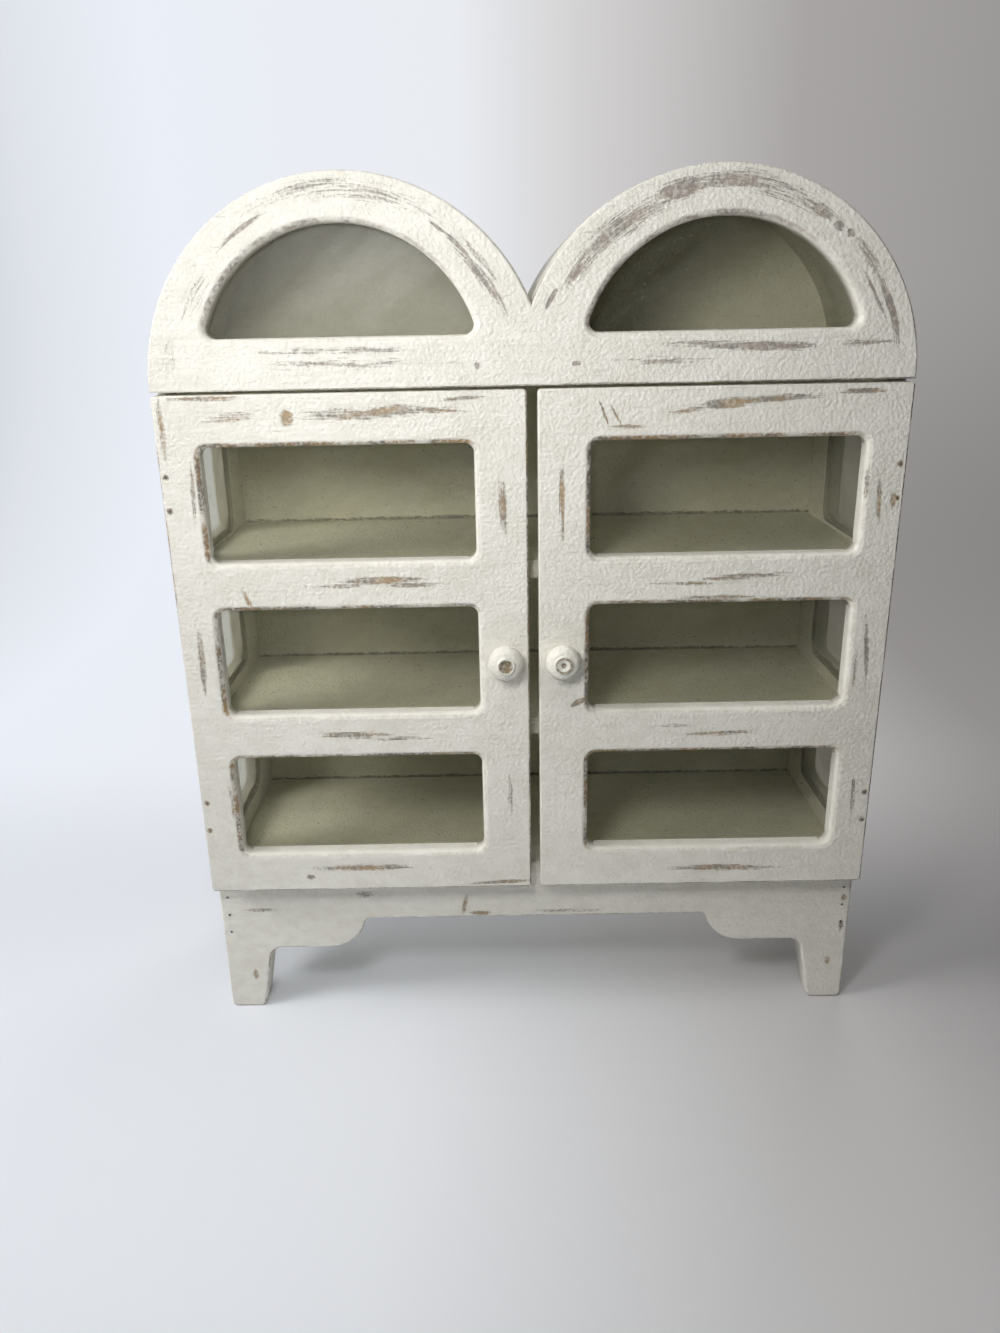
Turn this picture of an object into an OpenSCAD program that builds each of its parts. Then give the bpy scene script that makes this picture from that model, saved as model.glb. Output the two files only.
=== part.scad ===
/* [Case] */
// Width over the outsides of the two side boards
case_w = 240.8; // [220:0.2:280]
// Depth from the front of the doors to the rear of the back panel
case_d = 86; // [80:1:120]
// Thickness of the shelves and of the top and bottom boards
board_t = 6; // [4:0.5:8]
// Thickness of the side boards
side_t = 6; // [5:0.5:8]
// Thickness of the back panel
back_t = 3; // [2:0.5:5]
// Thickness of the two bent roof skins
roof_t = 3; // [2:0.5:4]
// How far the bottom board rises behind the lower edge of the doors
door_lap = 5.7; // [3:0.1:9]

/* [Arched front] */
// How far each arch runs past the middle, where the two meet in the notch
arch_cross = 4.8; // [2:0.2:12]
// How much smaller the radius of an arched window is than that of its arch
arch_band = 18.3; // [12:0.1:22]
// How far the middle of an arched window lies outside the middle of its arch
arch_win_out = 1.7; // [0:0.1:4]
// How far the middle of an arched window lies above the lower edge of the arched front
arch_win_lift = 4.2; // [0:0.1:8]
// Height of the window sill above the lower edge of the arched front
sill_h = 15.6; // [10:0.2:20]
// Corner radius where the sill meets the round of the window
arch_win_corner = 4; // [2:0.5:6]
// Radius of the rounded front edges of the arched front
arch_ease = 1.4; // [0.6:0.1:1.5]
// How far the fronts stand in from the outside of the case, each side
front_inset = 0.4; // [0.2:0.1:1]

/* [Doors] */
// Height of the lower edge of the doors above the floor
door_foot_z = 57.6; // [52:0.2:70]
// Height of the doors
door_h = 178.4; // [160:0.2:200]
// Thickness of the door boards
door_t = 7.5; // [6.5:0.1:10]
// Gap between the doors and the arched front above them
door_top_gap = 1; // [0.6:0.1:2]
// Gap between the two doors
door_mid_gap = 3.4; // [1:0.1:5]
// Height of the rails over the windows
door_rail = 16.4; // [12:0.2:18]
// Height of the rail under the lowest window
door_foot_rail = 15.4; // [12:0.2:18]
// Width of the stile on the hinge side
outer_stile = 13.1; // [11:0.1:18]
// Width of the stile on the knob side
meet_stile = 17.1; // [14:0.1:20]
// How far the middle of the knob lies inside the edge of its door
knob_inset = 8; // [6:0.1:11]
// Corner radius of the windows
win_corner = 3; // [2:0.5:8]
// Corner radius of the door boards
door_corner = 2; // [1.5:0.1:3]
// Radius of the rounded edges of the doors and of the windows in the side boards
edge_ease = 1; // [0.6:0.1:1.5]
// How far the front edges of the windows in the doors and in the arched front are eased
win_ease = 2; // [0.6:0.1:2.5]

/* [Glass] */
// Thickness of the glass
glass_t = 1.5; // [1:0.1:2]
// How far the glass laps behind the doors and the arched front
glass_lap = 3; // [2:0.5:4]
// How far the glass laps behind the side boards
side_glass_lap = 2; // [1:0.5:2.5]

/* [Side windows] */
// Height of each window in a side board
side_win_h = 37; // [30:1:38]
// Width of the side board in front of its windows
side_front_stile = 12; // [10:0.5:16]
// Width of the side board behind its windows
side_rear_stile = 20; // [12:0.5:24]

/* [Base] */
// Thickness of the front apron
apron_t = 11; // [9:0.5:13]
// Thickness of the side aprons
side_apron_t = 6; // [5:0.5:8]
// Height of the middle of the aprons above the floor
apron_mid_z = 39.2; // [36:0.2:44]
// Height of the shoulders of the aprons above the floor
apron_shoulder_z = 26.8; // [24:0.2:30]
// Width of the front feet where they meet the shoulder
foot_w = 17; // [14:0.5:22]
// Width of the side feet where they meet the shoulder
side_foot_w = 14; // [13:0.5:16]
// How much narrower each foot is at the floor
foot_taper = 3.6; // [1:0.2:5]
// Length of the flat shoulder beside each front foot
shoulder_l = 19; // [10:0.5:30]
// Radius of the cove between foot and shoulder
cove_r = 5; // [3:0.5:7]
// Radius of the rounded corners of the feet on the floor
toe_r = 2; // [1:0.1:3]

/* [Hinges] */
// Length of each hinge
hinge_h = 17.6; // [15:0.2:21]
// Distance of each hinge from the middle of the door's height
hinge_offset = 58.3; // [40:0.1:70]
// Diameter of the hinge barrel
barrel_d = 2.5; // [2.3:0.1:2.9]
// Diameter of the hinge pin
hinge_pin_d = 1.2; // [1:0.1:1.4]
// Space between the back of a door and the case, filled by the two leaves
hinge_gap = 1; // [0.8:0.1:1.4]
// Distance of the hinge axis from the outside of the case
hinge_out = 0.3; // [0.2:0.1:0.6]

/* [Knobs] */
// Largest diameter of the knobs
knob_d = 12; // [10:0.5:14]
// How far the knobs stand out from the doors
knob_h = 8.5; // [7:0.5:11]
// Diameter of the flat boss on the front of the knobs
knob_boss_d = 5.8; // [4:0.2:7]
// Diameter of the tenon that holds each knob in its door
tenon_d = 4; // [3:0.5:6]
// Length of that tenon
tenon_l = 5.5; // [4:0.5:6]

/* [Nails] */
// Diameter of the panel nails
nail_d = 1; // [0.8:0.1:1.2]
// Length of the nails that hold the boards
nail_l = 16; // [12:1:18]

/* [Hidden] */
$fn = 64;
tiers = 3;
arc_steps = 8;
crown_steps = 32;
ease_steps = 3;
// Clearances: pin in knuckle, nail in wood, glass in rebate, barrel in wood
pin_clear = 0.05;
nail_clear = 0.03;
glass_clear = 0.15;
glass_sink = 0.1;
barrel_clear = 0.25;
leaf_clear = 0.1;
knuckle_gap = 0.2;
tenon_clear = 0.05;
// Overrun of a cut past the face that it opens
cut = 1;

paint = "#e9e6da";
shade_paint = "#c9c8b8";
glass_colour = [0.72, 0.75, 0.68, 0.45];
steel = "#b9b4a6";

// Depths, with Y = 0 midway between the knobs and the back
door_front_y = (knob_h - case_d) / 2;
back_y = door_front_y + case_d;
door_back_y = door_front_y + door_t;
case_front_y = door_back_y + hinge_gap;
inner_back_y = back_y - back_t;
apron_back_y = case_front_y + apron_t;
front_t = case_front_y - door_front_y;
inner_d = inner_back_y - case_front_y;

// Widths
case_half = case_w / 2;
inner_half = case_half - side_t;
front_half = case_half - front_inset;
door_w = front_half - door_mid_gap / 2;
win_w = door_w - outer_stile - meet_stile;
win_x = door_mid_gap / 2 + meet_stile + win_w / 2;
knob_x = door_mid_gap / 2 + knob_inset;

// Heights
door_mid_z = door_foot_z + door_h / 2;
arch_z = door_foot_z + door_h + door_top_gap;
floor_top_z = door_foot_z + door_lap;
floor_low_z = floor_top_z - board_t;
tier_pitch = (arch_z - floor_top_z) / tiers;
win_h = (door_h - door_foot_rail - tiers * door_rail) / tiers;
shelf_mid_z = [for (k = [1 : tiers - 1]) floor_top_z + k * tier_pitch - board_t / 2];
win_z = [for (k = [0 : tiers - 1]) door_foot_z + door_foot_rail + win_h / 2 + k * (win_h + door_rail)];

// The two arches and the roof skins behind them
arch_r = (front_half + arch_cross) / 2;
arch_x = front_half - arch_r;
arch_win_r = arch_r - arch_band;
arch_win_x = arch_x + arch_win_out;
arch_win_z = arch_z + arch_win_lift;
roof_r = case_half - arch_x;
roof_inner_r = roof_r - roof_t;
top_half = arch_x + sqrt(pow(roof_inner_r, 2) - pow(board_t, 2)) - 0.1;

// The glass and its rebate
rebate_d = glass_t + glass_sink;
side_win_w = inner_d - side_front_stile - side_rear_stile;
side_win_y = case_front_y + side_front_stile + side_win_w / 2;

// The hinges
axis_x = case_half + hinge_out;
axis_y = door_back_y + hinge_gap / 2;
leaf_t = (hinge_gap - leaf_clear) / 2;
leaf_w = side_t;
knuckle_h = hinge_h / 3;
plate_x = barrel_d / 2 + 0.2;
hinge_z = [door_mid_z - hinge_offset, door_mid_z + hinge_offset];
// Nails of a hinge, as distances from its axis and its middle
door_nail = [2.7, 5.5];
case_nail = [4.2, 3];
case_nail_l = 7;
door_nail_proud = 0.35;

// The scrolled edge of an apron: a hollow curve up from the shoulder, then a small round
ogee_turn = 75;
ogee_top_r = 2.5;
ogee_r = (apron_mid_z - apron_shoulder_z) / (1 - cos(ogee_turn)) - ogee_top_r;

// Where the board nails go
side_nail_x = case_half - side_apron_t / 2;
shelf_nail_y = [case_front_y + inner_d * 0.2, case_front_y + inner_d * 0.8];
bottom_nail_y = [for (k = [0.3, 0.75]) inner_back_y - k * side_rear_stile];
apron_nail_z = [for (k = [1 : 3]) apron_shoulder_z + k / 4 * (floor_low_z - apron_shoulder_z)];
back_nail_x = [-inner_half * 0.5, inner_half * 0.5];
back_nail_z = [for (k = [0.12, 0.5, 0.88]) floor_top_z + k * (arch_z - floor_top_z)];

// ---- Shared shapes ----

// Points of an arc in the X-Z plane
function arc(x, z, r, from, to, steps = arc_steps) =
    [for (k = [0 : steps]) let (a = from + (to - from) * k / steps) [x + r * cos(a), z + r * sin(a)]];

function mirrored(points) = [for (k = [len(points) - 1 : -1 : 0]) [-points[k][0], points[k][1]]];

// Block between two corners
module block(low, high) {
    translate(low) cube(high - low);
}

// Raises an X-Z outline into a board that starts at depth y
module upright(y, t) {
    translate([0, y + t, 0]) rotate([90, 0, 0]) linear_extrude(t) children();
}

// Raises a Y-Z outline into a board that starts at x
module sideways(x, t) {
    translate([x, 0, 0]) rotate([90, 0, 90]) linear_extrude(t) children();
}

// Rectangle with rounded corners, about its middle
module round_rect(w, h, r) {
    square([w - 2 * r, h], center = true);
    square([w, h - 2 * r], center = true);
    for (sx = [-1, 1], sz = [-1, 1])
        translate([sx * (w / 2 - r), sz * (h / 2 - r)]) circle(r);
}

// Board with its front edges rounded over, about its middle in X and Z
module eased_board(w, h, y, t, corner, ease) {
    hull() for (k = [0 : ease_steps]) {
        a = 90 * k / ease_steps;
        inset = ease * (1 - cos(a));
        depth = ease * (1 - sin(a));
        upright(y + depth, t - depth)
            round_rect(w - 2 * inset, h - 2 * inset, max(corner - inset, 0.1), $fn = 32);
    }
}

// Half-round window of the arched front, larger all round by grow
module arch_window(grow) {
    r = arch_win_r + grow;
    corner = arch_win_corner + grow;
    z = sill_h - arch_win_lift + arch_win_corner;
    x = sqrt(pow(r - corner, 2) - z * z);
    meet = atan2(z, x);
    crown = arc(0, 0, r, meet, 180 - meet, crown_steps);
    polygon(concat(
        arc(x, z, corner, -90, meet),
        [for (k = [1 : crown_steps - 1]) crown[k]],
        arc(-x, z, corner, 180 - meet, 270)
    ));
}

// Nail shanks, or their holes when grow is more than 0
module nails_x(points, direction, l, grow = 0) {
    for (p = points)
        translate(p) rotate([0, direction * 90, 0]) cylinder(d = nail_d + 2 * grow, h = l);
}

module nails_y(points, direction, l, grow = 0) {
    for (p = points)
        translate(p) rotate([-direction * 90, 0, 0]) cylinder(d = nail_d + 2 * grow, h = l);
}

module nails_z(points, l, grow = 0) {
    for (p = points)
        translate(p) cylinder(d = nail_d + 2 * grow, h = l);
}

// ---- Base: a front apron and two side aprons, cut to bracket feet ----

// Lower edge of one half of an apron, from its outer corner to the middle
function half_scroll(half, foot, shoulder) =
    let (inner = half - foot, toe = inner + foot_taper)
    let (bend = inner - cove_r - shoulder)
    let (rise = bend - (ogee_r + ogee_top_r) * sin(ogee_turn))
    concat(
        arc(half - toe_r, toe_r, toe_r, 0, -90),
        arc(toe + toe_r, toe_r, toe_r, -90, -180),
        arc(inner - cove_r, apron_shoulder_z - cove_r, cove_r, 0, 90),
        arc(bend, apron_shoulder_z + ogee_r, ogee_r, -90, -90 - ogee_turn),
        arc(rise, apron_mid_z - ogee_top_r, ogee_top_r, 90 - ogee_turn, 90)
    );

module apron_outline(half, top, foot, shoulder) {
    lower = half_scroll(half, foot, shoulder);
    polygon(concat([[half, top]], lower, mirrored(lower), [[-half, top]]));
}

module apron_nail_set(grow = 0) {
    points = [for (s = [-1, 1], z = apron_nail_z) [s * side_nail_x, case_front_y, z]];
    nails_y(points, 1, nail_l, grow);
}

module front_apron() {
    color(paint) difference() {
        upright(case_front_y, apron_t) apron_outline(case_half, floor_top_z, foot_w, shoulder_l);
        apron_nail_set(nail_clear);
    }
}

// The side apron is laid out over the whole depth, then stops behind the front apron
module side_apron(side) {
    span = (back_y - case_front_y) / 2;
    color(paint) difference() {
        intersection() {
            sideways(side > 0 ? case_half - side_apron_t : -case_half, side_apron_t)
                translate([case_front_y + span, 0]) apron_outline(span, floor_low_z, side_foot_w, 0);
            block([-case_w, apron_back_y, -cut], [case_w, back_y + cut, floor_low_z + cut]);
        }
        apron_nail_set(nail_clear);
    }
}

module left_apron() {
    side_apron(-1);
}

module right_apron() {
    side_apron(1);
}

// ---- Case: boards, shelves and back ----

// Nails that come up through the bottom board into the side boards
module bottom_nail_set(grow = 0) {
    points = [for (s = [-1, 1], y = bottom_nail_y) [s * (case_half - side_t / 2), y, floor_low_z]];
    nails_z(points, nail_l, grow);
}

module top_nail_set(grow = 0) {
    x = (inner_half + top_half) / 2;
    points = [for (s = [-1, 1], y = shelf_nail_y) [s * x, y, arch_z + board_t - nail_l]];
    nails_z(points, nail_l, grow);
}

module shelf_nail_set(grow = 0) {
    for (y = shelf_nail_y, z = shelf_mid_z) {
        nails_x([[-case_half, y, z]], 1, nail_l, grow);
        nails_x([[case_half, y, z]], -1, nail_l, grow);
    }
}

module back_nail_set(grow = 0) {
    edges = [for (s = [-1, 1], z = back_nail_z) [s * (case_half - side_t / 2), back_y, z]];
    boards = [for (x = back_nail_x, z = shelf_mid_z) [x, back_y, z]];
    nails_y(concat(edges, boards), -1, nail_l, grow);
}

module bottom_board() {
    color(shade_paint) difference() {
        block([-case_half, apron_back_y, floor_low_z], [case_half, inner_back_y, floor_top_z]);
        bottom_nail_set(nail_clear);
    }
}

module shelf(level) {
    z = shelf_mid_z[level];
    low = [-inner_half, case_front_y, z - board_t / 2];
    high = [inner_half, inner_back_y, z + board_t / 2];
    color(shade_paint) difference() {
        block(low, high);
        shelf_nail_set(nail_clear);
        back_nail_set(nail_clear);
    }
}

module lower_shelf() {
    shelf(0);
}

module upper_shelf() {
    shelf(1);
}

module top_board() {
    color(shade_paint) difference() {
        block([-top_half, case_front_y, arch_z], [top_half, inner_back_y, arch_z + board_t]);
        top_nail_set(nail_clear);
    }
}

// Window of the right side board, larger all round by grow, between two distances from the middle
module side_window(z, from, to, grow) {
    sideways(from, to - from) translate([side_win_y, z])
        round_rect(side_win_w + 2 * grow, side_win_h + 2 * grow, win_corner + grow);
}

module side_windows() {
    for (z = win_z) {
        side_window(z, inner_half - cut, case_half + cut, 0);
        side_window(z, inner_half - cut, inner_half + rebate_d, side_glass_lap);
        hull() {
            side_window(z, case_half, case_half + edge_ease, edge_ease, $fn = 32);
            side_window(z, case_half - edge_ease, case_half, 0, $fn = 32);
        }
    }
}

module side_board(side) {
    color(paint) difference() {
        block([side > 0 ? inner_half : -case_half, case_front_y, floor_top_z],
              [side > 0 ? case_half : -inner_half, inner_back_y, arch_z]);
        mirror([side > 0 ? 0 : 1, 0, 0]) side_windows();
        for (z = hinge_z)
            barrel_groove(side, z);
        case_nail_holes(side);
        shelf_nail_set(nail_clear);
        bottom_nail_set(nail_clear);
        top_nail_set(nail_clear);
        back_nail_set(nail_clear);
    }
}

module left_side() {
    side_board(-1);
}

module right_side() {
    side_board(1);
}

// Outline of the case seen from behind: upright edges under two round heads
module case_outline() {
    for (s = [-1, 1])
        intersection() {
            translate([s * arch_x, arch_z]) circle(roof_r);
            translate([-case_half, arch_z]) square([case_w, 2 * roof_r]);
        }
    translate([-case_half, floor_low_z]) square([case_w, arch_z - floor_low_z]);
}

module back_panel() {
    color(shade_paint) difference() {
        upright(inner_back_y, back_t) case_outline();
        back_nail_set(nail_clear);
    }
}

// One bent skin, from the top of a side board over to the valley in the middle
module roof_skin(side) {
    color(paint) upright(case_front_y, inner_d) intersection() {
        translate([side * arch_x, arch_z]) difference() {
            circle(roof_r);
            circle(roof_inner_r);
        }
        translate([side > 0 ? 0 : -case_half, arch_z]) square([case_half, 2 * roof_r]);
    }
}

module left_roof() {
    roof_skin(-1);
}

module right_roof() {
    roof_skin(1);
}

// ---- Arched front with its two half-round windows ----

// Disc with a rounded-over front edge, standing upright
module arch_disc() {
    outline = concat([[0, 0], [arch_r, 0]],
        arc(arch_r - arch_ease, front_t - arch_ease, arch_ease, 0, 90), [[0, front_t]]);
    rotate([90, 0, 0]) rotate_extrude($fn = 96) polygon(outline);
}

// Everything above the lower edge of the arched front, with that edge rounded over too
module arch_stock() {
    edge = arc(door_front_y + arch_ease, arch_z + arch_ease, arch_ease, 180, 270);
    high = arch_z + 2 * arch_r;
    sideways(-case_w, 2 * case_w)
        polygon(concat(edge, [[case_front_y + cut, arch_z], [case_front_y + cut, high], [door_front_y, high]]));
}

module arch_front() {
    color(paint) difference() {
        intersection() {
            union() for (s = [-1, 1])
                translate([s * arch_x, case_front_y, arch_z]) arch_disc();
            arch_stock();
        }
        for (s = [-1, 1]) translate([s * arch_win_x, 0, arch_win_z]) {
            upright(door_front_y - cut, front_t + 2 * cut) arch_window(0);
            upright(case_front_y - rebate_d, rebate_d + cut) arch_window(glass_lap);
            hull() {
                upright(door_front_y - win_ease, win_ease) arch_window(win_ease);
                upright(door_front_y, win_ease) arch_window(0);
            }
        }
    }
}

module arch_pane(side) {
    color(glass_colour) translate([side * arch_win_x, 0, arch_win_z])
        upright(case_front_y - rebate_d, glass_t) arch_window(glass_lap - glass_clear);
}

module left_arch_pane() {
    arch_pane(-1);
}

module right_arch_pane() {
    arch_pane(1);
}

module side_panes(side) {
    x = side > 0 ? inner_half + glass_sink : -inner_half - rebate_d;
    grow = 2 * (side_glass_lap - glass_clear);
    color(glass_colour) for (z = win_z)
        sideways(x, glass_t) translate([side_win_y, z])
            round_rect(side_win_w + grow, side_win_h + grow, win_corner + grow / 2);
}

module left_side_panes() {
    side_panes(-1);
}

module right_side_panes() {
    side_panes(1);
}

// ---- Doors: one board each, cut for three windows ----

module door_window(z) {
    translate([0, 0, z]) {
        upright(door_front_y - cut, door_t + 2 * cut) round_rect(win_w, win_h, win_corner);
        upright(door_back_y - rebate_d, rebate_d + cut)
            round_rect(win_w + 2 * glass_lap, win_h + 2 * glass_lap, win_corner + glass_lap);
        hull() {
            upright(door_front_y - win_ease, win_ease)
                round_rect(win_w + 2 * win_ease, win_h + 2 * win_ease, win_corner + win_ease, $fn = 32);
            upright(door_front_y, win_ease) round_rect(win_w, win_h, win_corner, $fn = 32);
        }
    }
}

module door(side) {
    color(paint) difference() {
        translate([side * (front_half - door_w / 2), 0, door_mid_z])
            eased_board(door_w, door_h, door_front_y, door_t, door_corner, edge_ease);
        for (z = win_z)
            translate([side * win_x, 0, 0]) door_window(z);
        for (z = hinge_z)
            barrel_groove(side, z);
        door_nail_holes(side);
        translate([side * knob_x, door_front_y - cut, door_mid_z])
            rotate([-90, 0, 0]) cylinder(d = tenon_d + 2 * tenon_clear, h = tenon_l + tenon_clear + cut);
    }
}

module left_door() {
    door(-1);
}

module right_door() {
    door(1);
}

module door_panes(side) {
    grow = 2 * (glass_lap - glass_clear);
    color(glass_colour) for (z = win_z)
        translate([side * win_x, 0, z]) upright(door_back_y - rebate_d, glass_t)
            round_rect(win_w + grow, win_h + grow, win_corner + grow / 2);
}

module left_door_panes() {
    door_panes(-1);
}

module right_door_panes() {
    door_panes(1);
}

// Turned mushroom knob in one piece with its tenon
module knob(side) {
    rim = knob_d / 2;
    neck = knob_d * 0.3;
    boss = knob_boss_d / 2;
    boss_h = 0.9;
    crown = knob_h - boss_h;
    rim_z = crown * 0.55;
    dome = [for (k = [0 : arc_steps]) let (a = 90 * k / arc_steps)
        [boss + (rim - boss) * cos(a), rim_z + (crown - rim_z) * sin(a)]];
    profile = concat(
        [[0, -tenon_l], [tenon_d / 2, -tenon_l], [tenon_d / 2, 0], [neck * 1.1, 0], [neck, crown * 0.16],
         [neck * 1.05, crown * 0.28], [rim * 0.86, rim_z * 0.72], [rim, rim_z * 0.92]],
        dome,
        [[boss, knob_h - 0.3], [boss - 0.3, knob_h], [0, knob_h]]
    );
    color(paint) translate([side * knob_x, door_front_y, door_mid_z])
        rotate([90, 0, 0]) rotate_extrude() polygon(profile);
}

module left_knob() {
    knob(-1);
}

module right_knob() {
    knob(1);
}

// ---- Hinges: two a side, each of two leaves and a pin ----

// Round clearance that lets the barrel sit in the edge of a board
module barrel_groove(side, z) {
    h = hinge_h + 2 * barrel_clear;
    translate([side * axis_x, axis_y, z - h / 2]) cylinder(d = barrel_d + 2 * barrel_clear, h = h);
}

// A point on a leaf, given by its distance from the axis and its height
function leaf_point(side, z, away, y) = [side * (axis_x - away), y, z];

function leaf_nail_points(side, spot, y) =
    [for (z = hinge_z, s = [-1, 1]) leaf_point(side, z + s * spot[1], spot[0], y)];

module door_nail_holes(side) {
    nails_y(leaf_nail_points(side, door_nail, axis_y), -1, case_d, nail_clear);
}

module case_nail_holes(side) {
    nails_y(leaf_nail_points(side, case_nail, axis_y), 1, case_nail_l + nail_d, nail_clear);
}

// Plate of a leaf with its tabs round the pin; spans are the heights of its knuckles
module leaf(side, z, y, spans) {
    translate([side * axis_x, 0, z]) mirror([side > 0 ? 1 : 0, 0, 0]) difference() {
        union() {
            block([plate_x, y, -hinge_h / 2], [leaf_w, y + leaf_t, hinge_h / 2]);
            for (span = spans) {
                block([0, y, span[0]], [plate_x + 0.5, y + leaf_t, span[1]]);
                translate([0, axis_y, span[0]]) cylinder(d = barrel_d, h = span[1] - span[0]);
            }
        }
        translate([0, axis_y, -hinge_h]) cylinder(d = hinge_pin_d + 2 * pin_clear, h = 2 * hinge_h);
    }
}

module case_leaves(side) {
    ends = [[-hinge_h / 2, -knuckle_h / 2], [knuckle_h / 2, hinge_h / 2]];
    color(steel) difference() {
        for (z = hinge_z)
            leaf(side, z, axis_y + leaf_clear / 2, ends);
        case_nail_holes(side);
    }
}

module left_case_leaves() {
    case_leaves(-1);
}

module right_case_leaves() {
    case_leaves(1);
}

module door_leaves(side) {
    middle = knuckle_h / 2 - knuckle_gap;
    color(steel) difference() {
        for (z = hinge_z)
            leaf(side, z, door_back_y, [[-middle, middle]]);
        door_nail_holes(side);
    }
}

module left_door_leaves() {
    door_leaves(-1);
}

module right_door_leaves() {
    door_leaves(1);
}

module hinge_pins(side) {
    color(steel) for (z = hinge_z)
        translate([side * axis_x, axis_y, z - hinge_h / 2]) cylinder(d = hinge_pin_d, h = hinge_h);
}

module left_hinge_pins() {
    hinge_pins(-1);
}

module right_hinge_pins() {
    hinge_pins(1);
}

// Nails through a door leaf and the door, their points just proud of its front
module door_nails(side) {
    from_y = door_back_y + leaf_t;
    l = from_y - door_front_y + door_nail_proud - nail_d / 2;
    color(steel) for (p = leaf_nail_points(side, door_nail, from_y))
        translate(p) rotate([90, 0, 0]) {
            cylinder(d = nail_d, h = l);
            translate([0, 0, l]) cylinder(d1 = nail_d, d2 = nail_d / 2, h = nail_d / 2);
        }
}

module left_door_nails() {
    door_nails(-1);
}

module right_door_nails() {
    door_nails(1);
}

module case_hinge_nails() {
    color(steel) for (s = [-1, 1])
        nails_y(leaf_nail_points(s, case_nail, axis_y + leaf_clear / 2), 1, case_nail_l);
}

// ---- Nails of the case ----

module shelf_nails() {
    color(steel) shelf_nail_set();
}

module top_board_nails() {
    color(steel) top_nail_set();
}

module bottom_board_nails() {
    color(steel) bottom_nail_set();
}

module apron_nails() {
    color(steel) apron_nail_set();
}

module back_nails() {
    color(steel) back_nail_set();
}

front_apron();
left_apron();
right_apron();
bottom_board();
left_side();
right_side();
lower_shelf();
upper_shelf();
top_board();
back_panel();
left_roof();
right_roof();
arch_front();
left_arch_pane();
right_arch_pane();
left_side_panes();
right_side_panes();
left_door();
right_door();
left_door_panes();
right_door_panes();
left_knob();
right_knob();
left_case_leaves();
right_case_leaves();
left_door_leaves();
right_door_leaves();
left_hinge_pins();
right_hinge_pins();
left_door_nails();
right_door_nails();
case_hinge_nails();
shelf_nails();
top_board_nails();
bottom_board_nails();
apron_nails();
back_nails();
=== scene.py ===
import math

import bmesh
import bpy
from mathutils import Matrix, Vector


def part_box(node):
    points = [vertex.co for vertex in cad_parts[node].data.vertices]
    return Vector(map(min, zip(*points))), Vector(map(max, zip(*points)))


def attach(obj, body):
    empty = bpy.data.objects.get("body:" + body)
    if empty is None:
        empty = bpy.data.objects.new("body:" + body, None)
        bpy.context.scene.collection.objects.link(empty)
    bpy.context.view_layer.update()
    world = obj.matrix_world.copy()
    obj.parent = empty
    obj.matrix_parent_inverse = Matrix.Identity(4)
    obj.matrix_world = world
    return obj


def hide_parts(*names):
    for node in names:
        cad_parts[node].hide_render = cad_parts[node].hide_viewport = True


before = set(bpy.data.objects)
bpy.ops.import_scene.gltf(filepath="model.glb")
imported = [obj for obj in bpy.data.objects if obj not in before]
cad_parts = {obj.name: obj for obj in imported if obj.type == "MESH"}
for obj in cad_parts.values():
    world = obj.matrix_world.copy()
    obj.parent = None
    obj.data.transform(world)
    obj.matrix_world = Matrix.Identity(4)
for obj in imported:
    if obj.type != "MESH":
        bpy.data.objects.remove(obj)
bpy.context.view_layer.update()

MM = 0.001

# ---- Camera ----
# Stands a third of a metre in front of the doors, a little above the foot of the arches,
# and looks down on them; it is turned and tipped by the last degree as the photographer held it.

PHOTO_HEIGHT = 1333
FOCAL_PIXELS = 1030
SENSOR_WIDTH = 36
NEAREST_SEEN = 0.01
CAMERA_PLACE = Vector((-10.36, -371.55, 261.75)) * MM
LOOK_DOWN = math.radians(19.46)
TURN_LEFT = math.radians(0.24)
TIP_RIGHT = math.radians(1.12)

camera_data = bpy.data.cameras.new("camera")
camera_data.sensor_width = SENSOR_WIDTH
camera_data.lens = FOCAL_PIXELS / PHOTO_HEIGHT * SENSOR_WIDTH
camera_data.clip_start = NEAREST_SEEN
camera = bpy.data.objects.new("camera", camera_data)
camera.matrix_world = (
    Matrix.Translation(CAMERA_PLACE)
    @ Matrix.Rotation(TURN_LEFT, 4, "Z")
    @ Matrix.Rotation(math.pi / 2 - LOOK_DOWN, 4, "X")
    @ Matrix.Rotation(-TIP_RIGHT, 4, "Z")
)
bpy.context.scene.collection.objects.link(camera)
bpy.context.scene.camera = camera
bpy.context.scene.view_settings.view_transform = "Standard"

# ---- Floor and backdrop ----
# One sheet of paper: flat under the bookcase, then curved up behind it.
# It is cool white on the left and falls off to a warm grey on the right, a painted falloff of the
# light from the left. Sizes are in metres.

SWEEP_FRONT = -1.6
SWEEP_BACK = 0.45
SWEEP_RADIUS = 0.35
SWEEP_TOP = 2.4
SWEEP_HALF = 2.2
SWEEP_STEPS = 24
# Where the paper's colour stands across it, with the colour there; the darkening to the right is
# painted shade, the light falling off away from the lamps
PAPER_TONES_WITH_PAINTED_FALLOFF = [
    (-0.60, (0.60, 0.63, 0.69)),
    (-0.50, (0.74, 0.77, 0.82)),
    (-0.36, (0.83, 0.86, 0.93)),
    (-0.05, (0.82, 0.84, 0.88)),
    (0.08, (0.65, 0.64, 0.64)),
    (0.30, (0.39, 0.375, 0.37)),
    (0.60, (0.30, 0.29, 0.28)),
]
# Painted shadow of the case: low down on the right the paper is made greyer, where the case stands
# before the light
PAINTED_CASE_SHADOW = -0.26
# How much lighter the lit paper in front is than the glowing tones behind the case
LIT_GAIN = 1.07


def node(tree, kind, inputs=None, **settings):
    """Adds a shader node; its inputs are values or other nodes' outputs"""
    made = tree.nodes.new("ShaderNode" + kind)
    for name, value in settings.items():
        setattr(made, name, value)
    for socket, value in (inputs or {}).items():
        if isinstance(value, bpy.types.NodeSocket):
            tree.links.new(value, made.inputs[socket])
        else:
            made.inputs[socket].default_value = value
    return made


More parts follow.
